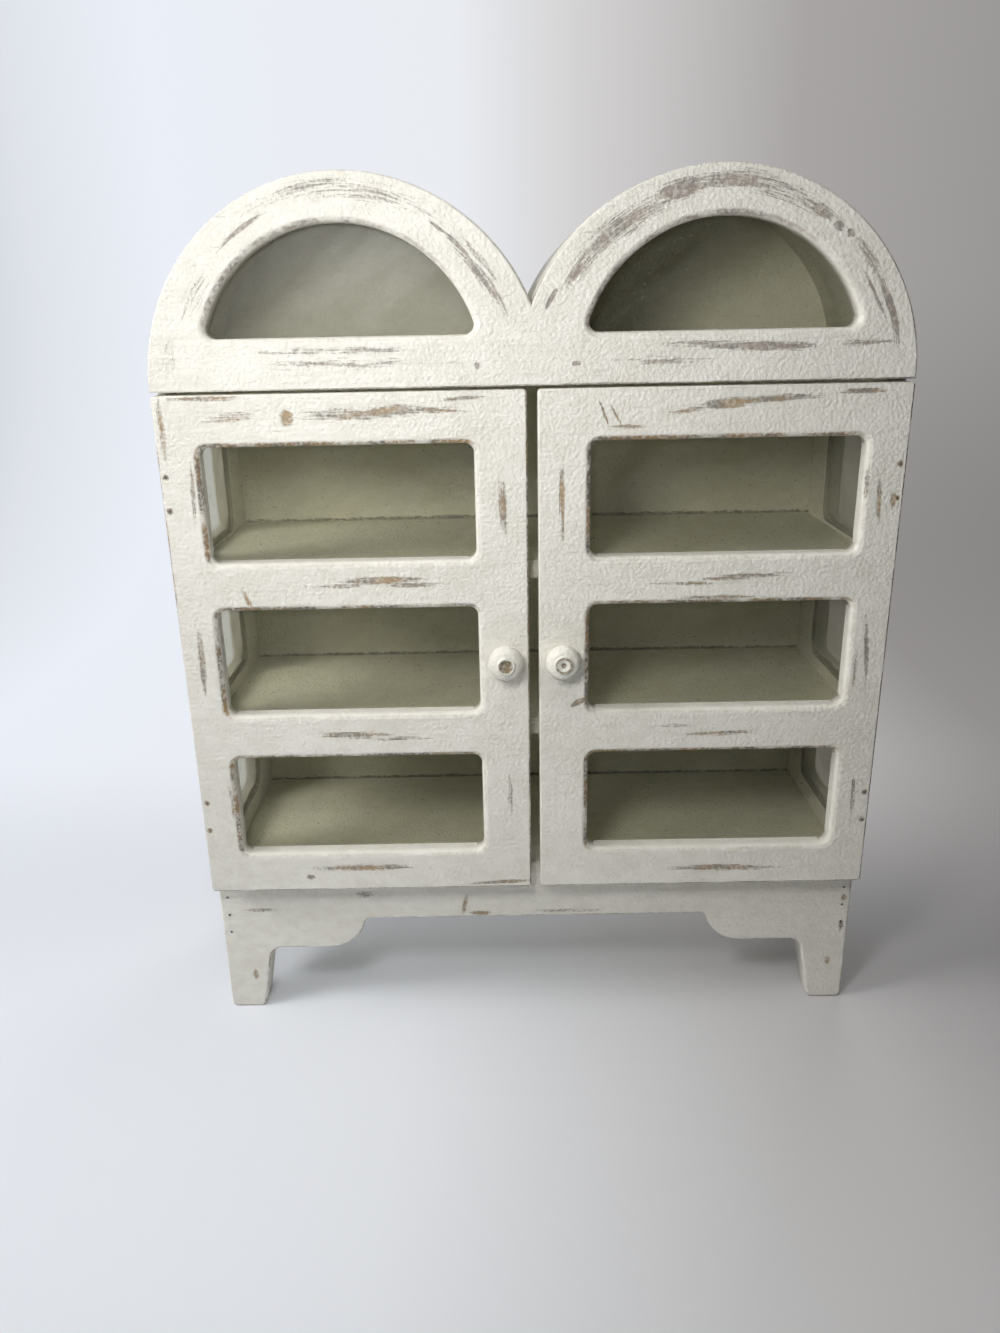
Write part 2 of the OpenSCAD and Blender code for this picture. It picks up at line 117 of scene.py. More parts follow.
def math_of(tree, operation, *values):
    return node(tree, "Math", dict(enumerate(values)), operation=operation).outputs[0]


def ramp_of(tree, value, low, high, to_low=0.0, to_high=1.0):
    """Smooth step of a value between two limits"""
    inputs = {
        "Value": value, "From Min": low, "From Max": high, "To Min": to_low, "To Max": to_high,
    }
    return node(tree, "MapRange", inputs, interpolation_type="SMOOTHSTEP").outputs["Result"]


def scaled(tree, vector, scale):
    inputs = {0: vector, "Scale": scale}
    return node(tree, "VectorMath", inputs, operation="SCALE").outputs[0]


def new_material(name):
    material = bpy.data.materials.new(name)
    material.use_nodes = True
    material.node_tree.nodes.clear()
    return material


def finish_material(material, shader):
    """Sends the shader to the material's output and hands the material back"""
    node(material.node_tree, "OutputMaterial", {"Surface": shader})
    return material


def colour(rgb):
    return (*rgb, 1.0)


def tone_ramp(tree, value, tones):
    """Colour ramp over a value, from (place, colour) pairs in rising order"""
    first, last = tones[0][0], tones[-1][0]
    share = node(tree, "MapRange", {"Value": value, "From Min": first, "From Max": last})
    ramp = node(tree, "ValToRGB", {"Fac": share.outputs["Result"]})
    for _ in tones[2:]:
        ramp.color_ramp.elements.new(0.5)
    for element, (place, rgb) in zip(ramp.color_ramp.elements, tones):
        element.position = (place - first) / (last - first)
        element.color = colour(rgb)
    return ramp.outputs["Color"]


def object_from(bm, name, material, body=None):
    """Makes the finished mesh an object of its own, which moves with a body of the frame"""
    mesh = bpy.data.meshes.new(name)
    bm.to_mesh(mesh)
    bm.free()
    mesh.materials.append(material)
    made = bpy.data.objects.new(name, mesh)
    bpy.context.scene.collection.objects.link(made)
    if body:
        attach(made, body)
    return made


def paper():
    """Paper that takes the light in front, and behind the case glows to the camera in tones with a
    painted falloff to the right and a painted shadow low on the right
    """
    material = new_material("paper")
    tree = material.node_tree
    place = node(tree, "TexCoord").outputs["Object"]
    across, depth, height = node(tree, "SeparateXYZ", {"Vector": place}).outputs
    tones = tone_ramp(tree, across, PAPER_TONES_WITH_PAINTED_FALLOFF)
    rays = node(tree, "LightPath").outputs
    seen = math_of(tree, "MAXIMUM", rays["Is Camera Ray"], rays["Is Glossy Ray"])
    seen = math_of(tree, "MAXIMUM", seen, rays["Is Transmission Ray"])
    behind = ramp_of(tree, depth, -0.04, 0.22)
    # Painted shadow of the case, low down on the right of the paper and behind it
    low_right = math_of(tree, "MULTIPLY", ramp_of(tree, across, 0.05, 0.32),
                        ramp_of(tree, height, 0.0, 0.30, 1.0, 0.0))
    shade = math_of(tree, "MULTIPLY", low_right,
                    ramp_of(tree, depth, -0.05, 0.20, 0.0, PAINTED_CASE_SHADOW))
    tones = scaled(tree, tones, math_of(tree, "ADD", 1.0, shade))
    lit = node(tree, "BsdfDiffuse", {"Color": scaled(tree, tones, LIT_GAIN)})
    # Glowing backdrop for the camera, which carries the painted falloff and the painted shadow
    shown = node(tree, "Emission", {"Color": tones, "Strength": 1.0})
    share = math_of(tree, "MULTIPLY", seen, behind)
    mixed = node(tree, "MixShader", {0: share, 1: lit.outputs[0], 2: shown.outputs[0]})
    return finish_material(material, mixed.outputs[0])


def of_kind(parts, kind):
    """The vertices or the edges among the parts that an operator gives back"""
    return [part for part in parts if isinstance(part, kind)]


def sweep():
    """Sheet along Y, turned up at the back and drawn out wide along X"""
    bm = bmesh.new()
    front = bm.verts.new((0, SWEEP_FRONT, 0))
    back = bm.verts.new((0, SWEEP_BACK, 0))
    bm.edges.new((front, back))
    turned = bmesh.ops.spin(
        bm, geom=[back], cent=(0, SWEEP_BACK, SWEEP_RADIUS), axis=(1, 0, 0),
        angle=math.pi / 2, steps=SWEEP_STEPS, dvec=(0, 0, 0), use_duplicate=False,
    )["geom_last"]
    low = of_kind(turned, bmesh.types.BMVert)[0]
    high = bm.verts.new((0, low.co.y, SWEEP_TOP))
    bm.edges.new((low, high))
    bmesh.ops.translate(bm, verts=bm.verts[:], vec=(-SWEEP_HALF, 0, 0))
    wide = bmesh.ops.extrude_edge_only(bm, edges=bm.edges[:])["geom"]
    wide = of_kind(wide, bmesh.types.BMVert)
    bmesh.ops.translate(bm, verts=wide, vec=(2 * SWEEP_HALF, 0, 0))
    bmesh.ops.recalc_face_normals(bm, faces=bm.faces[:])
    for face in bm.faces:
        face.smooth = True
    return bm


floor = object_from(sweep(), "floor", paper())

# ---- Studio light ----
# A soft lamp stands near the arches, so the light falls off to the lower right. A wide one at
# the left shines in through the side windows, one above brightens the sills, and a weak one
# shows the back.

KEY_PLACE = Vector((-0.075, -0.25, 0.30))
KEY_AIM = Vector((-0.02, 0.0, 0.20))
KEY_SIZE = 0.07
KEY_POWER = 0.40
SIDE_PLACE = Vector((-0.50, -0.17, 0.44))
SIDE_AIM = Vector((-0.05, -0.02, 0.14))
SIDE_SIZE = 0.22
SIDE_POWER = 1.75
TOP_PLACE = Vector((-0.12, -0.24, 0.84))
TOP_AIM = Vector((-0.02, -0.05, 0.0))
TOP_SIZE = 0.50
TOP_POWER = 0.9
BACK_PLACE = Vector((0.25, 0.55, 0.62))
BACK_AIM = Vector((0.0, 0.05, 0.16))
BACK_SIZE = 0.30
BACK_POWER = 1.0
FILL = 0.11
FILL_COLOUR = (0.95, 0.97, 1.0)


def lamp(name, place, aim, size, power):
    data = bpy.data.lights.new(name, "AREA")
    data.shape = "SQUARE"
    data.size = size
    data.energy = power
    made = bpy.data.objects.new(name, data)
    turn = (aim - place).to_track_quat("-Z", "Y").to_matrix().to_4x4()
    made.matrix_world = Matrix.Translation(place) @ turn
    bpy.context.scene.collection.objects.link(made)


lamp("key_light", KEY_PLACE, KEY_AIM, KEY_SIZE, KEY_POWER)
lamp("side_light", SIDE_PLACE, SIDE_AIM, SIDE_SIZE, SIDE_POWER)
lamp("top_light", TOP_PLACE, TOP_AIM, TOP_SIZE, TOP_POWER)
lamp("back_light", BACK_PLACE, BACK_AIM, BACK_SIZE, BACK_POWER)

world = bpy.data.worlds.new("studio")
world.use_nodes = True
background = world.node_tree.nodes["Background"]
background.inputs["Color"].default_value = colour(FILL_COLOUR)
background.inputs["Strength"].default_value = FILL
bpy.context.scene.world = world

# ---- Front apron ----
# The front of the base: one board across the whole width, sawn to two bracket feet with a
# scroll between them. Its cream paint is brushed on, cracked like eggshell and sanded through.

SCROLL_MID = 39.2 * MM
SHOULDER = 26.8 * MM
FOOT = 17 * MM
FOOT_TAPER = 3.6 * MM
SHOULDER_LENGTH = 19 * MM
COVE = 5 * MM
TOE = 2 * MM
SCROLL_TURN = 75
SCROLL_TOP = 2.5 * MM
APRON_EASE = 0.9 * MM
SCROLL_STEPS = 12
# Points this close count as one
TOUCH = 1e-6

CREAM = (0.84, 0.815, 0.735)
THIN_CREAM = (0.76, 0.73, 0.645)
GREY_WOOD = (0.21, 0.185, 0.155)
TAN_WOOD = (0.37, 0.255, 0.13)

# How a streak of sanding runs: reach of the strokes along X, Y and Z, in mm
LEVEL_STROKES = (5, 3, 0.25)
UPRIGHT_STROKES = (0.25, 3, 5)
# What a mark, the scratches and the grain add to the rubbing, and from where to where the
# paint gives way to it
MARK_SHARE = 0.60
SCRATCH_SHARE = 1.4
GRAIN_SHARE = 0.60
GIVES_WAY = (1.15, 1.50)
# Size of the grain, and how far a mark reaches into the board either way, in mm
GRAIN = 0.40
MARK_DEPTH = 4

# Sizes of the patterns in the paint, in mm along X, Y and Z
CLOUDS = 17
MOTTLE = (2.6, 2.6, 1.8)
PEBBLE = 0.62
BRUSHWORK = (9, 9, 0.7)
CRACKED_PATCH = 12
EDGE_RUN = 6
STRAY_STREAK = (7, 7, 0.5)
WOOD_PATCH = 5
# How close the cracks stand, how much they darken the paint, and the height of its relief
CRACKS_PER_MM = 0.42
CRACK_SHADE = 0.04
RELIEF = 0.55 * MM


def noise_of(tree, place, size, detail=3.0, roughness=0.55):
    """Cloudy pattern whose patches are about so many mm across, along X, Y and Z"""
    sizes = size if isinstance(size, tuple) else (size, size, size)
    scale = tuple(1 / (2 * length) for length in sizes)
    stretched = node(tree, "Mapping", {"Vector": place, "Scale": scale}).outputs[0]
    inputs = {"Vector": stretched, "Scale": 1.0, "Detail": detail, "Roughness": roughness}
    return node(tree, "TexNoise", inputs).outputs["Fac"]


def place_of(tree):
    """Place on the object in mm"""
    return scaled(tree, node(tree, "TexCoord").outputs["Object"], 1 / MM)


def length_of(tree, vector):
    return node(tree, "VectorMath", {0: vector}, operation="LENGTH").outputs["Value"]


def blend(tree, share, low, high):
    """Mix of two colours, each a value or another node's output"""
    return node(tree, "Mix", {0: share, 6: low, 7: high}, data_type="RGBA").outputs[2]


def sanded(tree, place, strokes, spots):
    """Where the paint is rubbed through: scratchy spots of (x, y, z, half length, half width,
    tilt, strength)"""
    marks = 0.0
    for x, y, z, length, width, tilt, strength in spots:
        inputs = {
            "Vector": place, "Location": (x, y, z), "Rotation": (0, -math.radians(tilt), 0),
            "Scale": (length, MARK_DEPTH, width),
        }
        inside = node(tree, "Mapping", inputs, vector_type="TEXTURE").outputs[0]
        mark = ramp_of(tree, length_of(tree, inside), 0.1, 1.5, strength, 0.0)
        marks = math_of(tree, "MAXIMUM", marks, mark)
    scratch = noise_of(tree, place, strokes, detail=5.0, roughness=0.7)
    grain = noise_of(tree, place, GRAIN, detail=2.0)
    rubbed = math_of(tree, "MULTIPLY_ADD", marks, MARK_SHARE,
                     math_of(tree, "MULTIPLY", scratch, SCRATCH_SHARE))
    rubbed = math_of(tree, "MULTIPLY_ADD", grain, GRAIN_SHARE, rubbed)
    near_mark = ramp_of(tree, marks, 0.0, 0.25)
    return math_of(tree, "MULTIPLY", ramp_of(tree, rubbed, *GIVES_WAY), near_mark)


def painted(name, wear, cream=CREAM, thin=THIN_CREAM, bare=(GREY_WOOD, TAN_WOOD),
            worn_edges=1.0, stray=0.5):
    """Brushed cream paint; wear(tree, place) gives the places that are sanded through to the bare
    wood, or on the back panel the painted shade along the shelves"""
    material = new_material(name)
    tree = material.node_tree
    place = place_of(tree)

    clouds = noise_of(tree, place, CLOUDS)
    mottle = noise_of(tree, place, MOTTLE, detail=4.0)
    pebble = noise_of(tree, place, PEBBLE, detail=3.5)
    brush = noise_of(tree, place, BRUSHWORK, detail=2.0)
    cells = node(tree, "TexVoronoi", {"Vector": place, "Scale": CRACKS_PER_MM, "Randomness": 1.0},
                 feature="DISTANCE_TO_EDGE")
    crackle = ramp_of(tree, cells.outputs["Distance"], 0.02, 0.10)
    patch = ramp_of(tree, noise_of(tree, place, CRACKED_PATCH), 0.42, 0.66)
    crackle = math_of(tree, "MAXIMUM", crackle, math_of(tree, "SUBTRACT", 1.0, patch))

    # The arris attribute is 1 along the rounded edges, less where they turn up or to the left; they
    # wear through in short runs, partly real wear and partly painted shade on the edges turned from
    # the lamps
    arris = node(tree, "Attribute", attribute_name="arris").outputs["Fac"]
    runs = ramp_of(tree, noise_of(tree, place, EDGE_RUN, detail=6.0, roughness=0.65), 0.34, 0.56)
    edge = math_of(tree, "MULTIPLY", ramp_of(tree, arris, 0.10, 0.65),
                   math_of(tree, "MULTIPLY", runs, worn_edges))
    edge = math_of(tree, "MULTIPLY", edge, ramp_of(tree, pebble, 0.35, 0.60, 0.50, 0.95))
    strays = math_of(tree, "MULTIPLY", noise_of(tree, place, STRAY_STREAK, detail=4.0), patch)
    strays = math_of(tree, "MULTIPLY", ramp_of(tree, strays, 0.60, 0.74), stray)
    worn = math_of(tree, "MAXIMUM", wear(tree, place), math_of(tree, "MAXIMUM", edge, strays))
    worn = math_of(tree, "MULTIPLY", worn, ramp_of(tree, pebble, 0.32, 0.58, 0.50, 0.92))

    shade = math_of(tree, "MULTIPLY_ADD", mottle, 0.55, math_of(tree, "MULTIPLY", clouds, 0.45))
    coat = blend(tree, ramp_of(tree, shade, 0.36, 0.66), colour(cream), colour(thin))
    coat = scaled(tree, coat, math_of(tree, "MULTIPLY_ADD", crackle, CRACK_SHADE, 1 - CRACK_SHADE))
    boards = ramp_of(tree, noise_of(tree, place, WOOD_PATCH), 0.38, 0.62)
    shown = blend(tree, worn, coat, blend(tree, boards, colour(bare[0]), colour(bare[1])))

    height = math_of(tree, "MULTIPLY_ADD", pebble, 0.9, math_of(tree, "MULTIPLY", brush, 0.4))
    height = math_of(tree, "MULTIPLY_ADD", crackle, 0.06, height)
    height = math_of(tree, "SUBTRACT", height, math_of(tree, "MULTIPLY", worn, 0.35))
    relief = node(tree, "Bump", {"Strength": 1.0, "Distance": RELIEF, "Height": height})
    gloss = math_of(tree, "MULTIPLY_ADD", worn, 0.25, ramp_of(tree, mottle, 0.3, 0.7, 0.42, 0.58))
    surface = node(tree, "BsdfPrincipled", {
        "Base Color": shown, "Roughness": gloss, "Specular IOR Level": 0.45,
        "Normal": relief.outputs[0],
    })
    return finish_material(material, surface.outputs[0])


def draw(bm, start, y, moves):
    """Line of edges in the plane at depth y: a move is a point to go to, or a centre, degrees
    and steps to turn"""
    known = set(bm.edges)
    last = bm.verts.new((start[0], y, start[1]))
    for move in moves:
        if len(move) == 2:
            fresh = bm.verts.new((move[0], y, move[1]))
            bm.edges.new((last, fresh))
            last = fresh
        else:
            turned = bmesh.ops.spin(
                bm, geom=[last], cent=(move[0], y, move[1]), axis=(0, -1, 0),
                angle=math.radians(move[2]), steps=move[3], dvec=(0, 0, 0), use_duplicate=False,
            )["geom_last"]
            last = of_kind(turned, bmesh.types.BMVert)[0]
    return [edge for edge in bm.edges if edge not in known]


def apron_line(bm, y, half, top, foot, shoulder):
    """Closed outline of an apron: its right half, then the left as its mirror image"""
    inner = half - foot
    toe = inner + FOOT_TAPER
    bend = inner - COVE - shoulder
    hollow = (SCROLL_MID - SHOULDER) / (1 - math.cos(math.radians(SCROLL_TURN))) - SCROLL_TOP
    rise = bend - (hollow + SCROLL_TOP) * math.sin(math.radians(SCROLL_TURN))
    edges = draw(bm, (0, top), y, [
        (half, top), (half, TOE),
        (half - TOE, TOE, -90, SCROLL_STEPS), (toe + TOE, 0),
        (toe + TOE, TOE, -90, SCROLL_STEPS), (inner, SHOULDER - COVE),
        (inner - COVE, SHOULDER - COVE, 90, SCROLL_STEPS), (bend, SHOULDER),
        (bend, SHOULDER + hollow, -SCROLL_TURN, SCROLL_STEPS),
        (rise, SCROLL_MID - SCROLL_TOP, SCROLL_TURN, SCROLL_STEPS), (0, SCROLL_MID),
    ])
    known = set(bm.edges)
    verts = list(dict.fromkeys(vert for edge in edges for vert in edge.verts))
    bmesh.ops.mirror(bm, geom=verts + edges, matrix=Matrix.Identity(4), merge_dist=TOUCH, axis="X")
    return edges + [edge for edge in bm.edges if edge not in known]


def ease(bm, edges, radius, steps=4):
    bmesh.ops.bevel(
        bm, geom=edges, offset=radius, offset_type="OFFSET", segments=steps, profile=0.5,
        affect="EDGES", material=-1, loop_slide=False, clamp_overlap=False,
    )


# How fast an edge keeps its paint as it turns up or to the left, towards the lamps; the bare wood
# left on edges turned down or to the right is partly painted shade
ARRIS_KEPT_TOWARDS_LAMPS = 1.2
# From this share along an axis a face counts as straight
FLAT = 0.999


def mark_arris(bm, axis, facing):
    """Writes how far each vertex sits on a rounded edge of the side that looks along the axis, with
    less where the edge looks up or to the left, towards the lamps: the bare wood on edges turned
    away from them is partly real wear and partly painted shade"""
    bm.normal_update()
    layer = bm.verts.layers.float.new("arris")
    for vert in bm.verts:
        turn = math.asin(max(0.0, min(1.0, vert.normal[axis] * facing)))
        kept_towards_lamps = max(0, vert.normal.z, -vert.normal.x)
        vert[layer] = (1 - abs(turn / (math.pi / 4) - 1)) * max(0, 1 - ARRIS_KEPT_TOWARDS_LAMPS * kept_towards_lamps)


def shade_smooth(bm, flat_axes=(0, 1, 2)):
    """Smooth shading on rounded edges and bends only: what faces straight along an axis stays
    flat"""
    for face in bm.faces:
        face.smooth = max(abs(face.normal[axis]) for axis in flat_axes) < FLAT


def apron_board(half, top, foot, shoulder, front, thickness):
    """Board with the apron's outline, and the edges of its front, which are to be rounded"""
    bm = bmesh.new()
    face = apron_line(bm, front, half, top, foot, shoulder)
    back = apron_line(bm, front + thickness, half, top, foot, shoulder)
    bmesh.ops.bridge_loops(bm, edges=face + back)
    bmesh.ops.edgeloop_fill(bm, edges=face)
    bmesh.ops.edgeloop_fill(bm, edges=back)
    bmesh.ops.recalc_face_normals(bm, faces=bm.faces[:])
    return bm, face


apron_low, apron_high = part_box("front_apron")
bm, face = apron_board(
    apron_high.x, apron_high.z, FOOT, SHOULDER_LENGTH, apron_low.y, apron_high.y - apron_low.y,
)
ease(bm, face, APRON_EASE)
mark_arris(bm, axis=1, facing=-1)
shade_smooth(bm)

APRON_Y = -30.25
apron_paint = painted("apron_paint", lambda tree, place: math_of(
    tree, "MAXIMUM",
    sanded(tree, place, LEVEL_STROKES, [
        (-65, APRON_Y, 50, 3.5, 1.6, 0, 0.7),
        (-105, APRON_Y, 44, 8, 0.9, -1, 0.75),
        (12, APRON_Y, 41.5, 16, 0.9, 0, 0.6),
        (-21, APRON_Y, 41, 4.5, 1.0, 0, 1.1),
    ]),
    sanded(tree, place, UPRIGHT_STROKES, [
        (-27, APRON_Y, 45, 1.0, 4.5, -10, 1.0),
        (-110, APRON_Y, 15, 1.2, 2.4, 0, 1.3),
        (114, APRON_Y, 17, 1.0, 2.2, 0, 0.9),
        (118, APRON_Y, 33, 1.1, 2.4, 0, 1.0),
        (118, APRON_Y, 45, 1.3, 1.6, 0, 1.1),
    ]),
), stray=0.25)
front_apron = object_from(bm, "apron_front", apron_paint, "carcass")
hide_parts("front_apron")

# ---- Side aprons ----
# Two shorter boards behind the front apron, sawn to the same scroll, nailed to it at the
# front and painted with it.

SIDE_FOOT = 14 * MM


def stand_at_side(bm, side, place):
    """Turns a board that faces the front to face the side, and finishes its edges there"""
    quarter = Matrix.Rotation(math.pi / 2, 3, "Z")
    bmesh.ops.rotate(bm, verts=bm.verts[:], cent=(0, 0, 0), matrix=quarter)
    bmesh.ops.translate(bm, verts=bm.verts[:], vec=place)
    bmesh.ops.scale(bm, verts=bm.verts[:], vec=(side, 1, 1))
    bmesh.ops.recalc_face_normals(bm, faces=bm.faces[:])
    mark_arris(bm, axis=0, facing=side)
    shade_smooth(bm)
    return bm


def side_apron(side):
    """Laid out over the whole depth of the case, cut off behind the front apron, then stood at
    its side"""
    low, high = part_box("right_apron")
    span = (high.y - apron_low.y) / 2
    bm, face = apron_board(span, high.z, SIDE_FOOT, 0, 0, high.x - low.x)
    ease(bm, face, APRON_EASE)
    cut = bmesh.ops.bisect_plane(
        bm, geom=bm.verts[:] + bm.edges[:] + bm.faces[:], dist=TOUCH,
        plane_co=(low.y - apron_low.y - span, 0, 0), plane_no=(1, 0, 0), clear_inner=True,
    )["geom_cut"]
    bmesh.ops.edgeloop_fill(bm, edges=of_kind(cut, bmesh.types.BMEdge))
    return stand_at_side(bm, side, (high.x, apron_low.y + span, 0))


def unworn(tree, place):
    return 0.0


side_paint = painted("side_paint", unworn, stray=0.9)
for side, name in ((-1, "left"), (1, "right")):
    apron = object_from(side_apron(side), "apron_" + name, side_paint, "carcass")
    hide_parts(name + "_apron")

# ---- Bottom board, shelves and top board ----
# Plain boards housed between the sides under a thin coat of the same paint, made darker and greener
# as painted shade inside the case.
# They are the frame's own solids; only their finish is made here.

# Darker, greener cream than outside: painted shade inside the case
SHADED_INNER_CREAM = (0.73, 0.72, 0.60)
SHADED_INNER_THIN = (0.665, 0.65, 0.515)


def coat_nodes(material, *names):
    """Gives the frame's own solids their finish"""
    for name in names:
        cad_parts[name].data.materials.clear()
        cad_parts[name].data.materials.append(material)


inner_paint = painted("inner_paint", unworn, cream=SHADED_INNER_CREAM, thin=SHADED_INNER_THIN, stray=0.3)
coat_nodes(inner_paint, "bottom_board", "lower_shelf", "upper_shelf", "top_board")

# ---- Side boards ----
# One board a side, cut for three windows with rounded corners; the glass lies in a rebate
# on the inside. Their long edges are rounded over and rubbed bare in places.

EASE_STEPS = 5
CORNER_STEPS = 32
SIDE_EASE = 1 * MM
SIDE_CORNER = 3 * MM
SIDE_EDGE_CORNER = 1.2 * MM
REBATE = 1.6 * MM
BACK_CHAMFER = 0.6 * MM
SIDE_LAP = 2 * MM
SIDE_WINDOW_H = 37 * MM
GLASS_CLEAR = 0.15 * MM
BRIDGE_DEPTH = 20 * MM
# Points this close to a cutting plane count as on it
ON_PLANE = 1e-7


def rounded_line(bm, y, middle, size, corner, square=0):
    """Closed outline of a rectangle with rounded corners; square is -1 or 1 where the lower or
    upper ones are sharp, and 2 where all are, with as many vertices drawn together into each"""
    half_step = math.pi / CORNER_STEPS
    upright = Matrix.Rotation(math.pi / 2, 4, "X") @ Matrix.Rotation(half_step, 4, "Z")
    verts = bmesh.ops.create_circle(
        bm, cap_ends=False, segments=CORNER_STEPS, radius=corner / math.cos(half_step),
        matrix=upright,
    )["verts"]
    for vert in verts:
        sharp = square == 2 or square * vert.co.z > 0
        across, up = (0, 0) if sharp else (vert.co.x, vert.co.z)
        reach = 0 if sharp else corner
        vert.co = (
            middle[0] + across + math.copysign(size[0] / 2 - reach, vert.co.x),
            y,
            middle[1] + up + math.copysign(size[1] / 2 - reach, vert.co.z),
        )
    return list(dict.fromkeys(edge for vert in verts for edge in vert.link_edges))


def flat_ring(bm, y, outside, inside):
    """Flat faces between two lines; they are bridged while the inner one lies deeper, which
    keeps them untwisted"""
    near, far = outside(bm, y), inside(bm, y + BRIDGE_DEPTH)
    bmesh.ops.bridge_loops(bm, edges=near + far)
    verts = list(dict.fromkeys(vert for edge in far for vert in edge.verts))
    bmesh.ops.translate(bm, verts=verts, vec=(0, -BRIDGE_DEPTH, 0))


def cut_board(outline, windows, cells, borders, thickness, radius, window_radius, lap):
    """Board behind Y = 0 with rounded front edges. The outline and each window draw a closed
    line from a depth and a growth; each window's cell draws the part of the board round it, out
    to the borders between cells"""
    bm = bmesh.new()
    turns = [math.radians(90 * step / EASE_STEPS) for step in range(EASE_STEPS + 1)]
    rounding = [(1 - math.sin(turn), 1 - math.cos(turn)) for turn in turns]
    outer = [outline(bm, radius * depth, -radius * inset) for inset, depth in rounding]
    outer += [outline(bm, thickness - BACK_CHAMFER, 0), outline(bm, thickness, -BACK_CHAMFER)]
    step_in = thickness - REBATE
    for near, far in zip(outer, outer[1:]):
        bmesh.ops.bridge_loops(bm, edges=near + far)
    for window in windows:
        lines = [window(bm, window_radius * depth, window_radius * inset)
                 for inset, depth in rounding]
        lines.append(window(bm, step_in, 0))
        for near, far in zip(lines, lines[1:]):
            bmesh.ops.bridge_loops(bm, edges=near + far)
        flat_ring(bm, step_in, lambda bm, y: window(bm, y, lap), lambda bm, y: window(bm, y, 0))
        bmesh.ops.bridge_loops(bm, edges=window(bm, step_in, lap) + window(bm, thickness, lap))
    for place, facing in borders:
        every = bm.verts[:] + bm.edges[:] + bm.faces[:]
        bmesh.ops.bisect_plane(bm, geom=every, dist=ON_PLANE, plane_co=place, plane_no=facing)
    for window, cell in zip(windows, cells):
        for y, shrink, widen in ((0, radius, window_radius), (thickness, BACK_CHAMFER, lap)):
            flat_ring(bm, y, lambda bm, y: cell(bm, y, -shrink), lambda bm, y: window(bm, y, widen))
    bmesh.ops.remove_doubles(bm, verts=bm.verts[:], dist=TOUCH)
    bmesh.ops.recalc_face_normals(bm, faces=bm.faces[:])
    return bm


def windowed_board(
    size, corner, window_x, window_z, window_size, window_corner, thickness, radii, lap,
):
    """Rectangular board about the middle of its front, with like windows one above the other"""
    def grown(sides, grow):
        return sides[0] + 2 * grow, sides[1] + 2 * grow

    def outline(bm, y, grow):
        return rounded_line(bm, y, (0, 0), grown(size, grow), corner + grow)

    def window(z):
        return lambda bm, y, grow: rounded_line(
            bm, y, (window_x, z), grown(window_size, grow), window_corner + grow)

    def cell(low, high):
        """The board between two heights, with its own corners at the ends and sharp ones at the
        borders"""
        def line(bm, y, grow):
            foot = low - grow if low == edges[0] else low
            head = high + grow if high == edges[-1] else high
            square = 2 if low != edges[0] and high != edges[-1] else (1 if low == edges[0] else -1)
            middle, sides = (0, (foot + head) / 2), (size[0] + 2 * grow, head - foot)
            return rounded_line(bm, y, middle, sides, corner + grow, square)

        return line

    edges = [-size[1] / 2] + [(a + b) / 2 for a, b in zip(window_z, window_z[1:])] + [size[1] / 2]
    cells = [cell(low, high) for low, high in zip(edges, edges[1:])]
    borders = [((0, 0, z), (0, 0, 1)) for z in edges[1:-1]]
    return cut_board(outline, [window(z) for z in window_z], cells, borders, thickness, *radii, lap)


def window_places(board, panes, lap):
    """Low and high corners of a board, and of its windows taken together, which its panes lap"""
    board_low, board_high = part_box(board)
    pane_low, pane_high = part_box(panes)
    over = Vector.Fill(3, lap - GLASS_CLEAR)
    return board_low, board_high, pane_low + over, pane_high - over


def three_windows(low_z, high_z, height):
    """Heights of the middles of three windows of that height between two limits"""
    pitch = (high_z - low_z - height) / 2
    return [low_z + height / 2 + level * pitch for level in range(3)]


def side_board(side):
    """Laid out across and up about its middle, then stood at its side"""
    low, high, glass_low, glass_high = window_places("right_side", "right_side_panes", SIDE_LAP)
    middle = Vector(((low.y + high.y) / 2, (low.z + high.z) / 2))
    size = (high.y - low.y, high.z - low.z)
    window_y = (glass_low.y + glass_high.y) / 2 - middle.x
    window_size = (glass_high.y - glass_low.y, SIDE_WINDOW_H)
    heights = three_windows(glass_low.z - middle.y, glass_high.z - middle.y, SIDE_WINDOW_H)
    bm = windowed_board(
        size, SIDE_EDGE_CORNER, window_y, heights, window_size, SIDE_CORNER, high.x - low.x,
        (SIDE_EASE, SIDE_EASE), SIDE_LAP,
    )
    return stand_at_side(bm, side, (high.x, middle.x, middle.y))


for side, name in ((-1, "left"), (1, "right")):
    board = object_from(side_board(side), "side_board_" + name, side_paint, "carcass")
    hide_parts(name + "_side")

# ---- Glass ----
# Old sheet glass in every window, puttied in behind; dust and wipe marks lie on it, and it
# greys what stands behind. The frame's own panes carry the finish.

GLASS_TINT = (0.955, 0.952, 0.915)
DUST = (0.46, 0.45, 0.40)
WIPE_TILT = math.radians(38)
WIPE = (26, 26, 5)
SPECK = 0.5


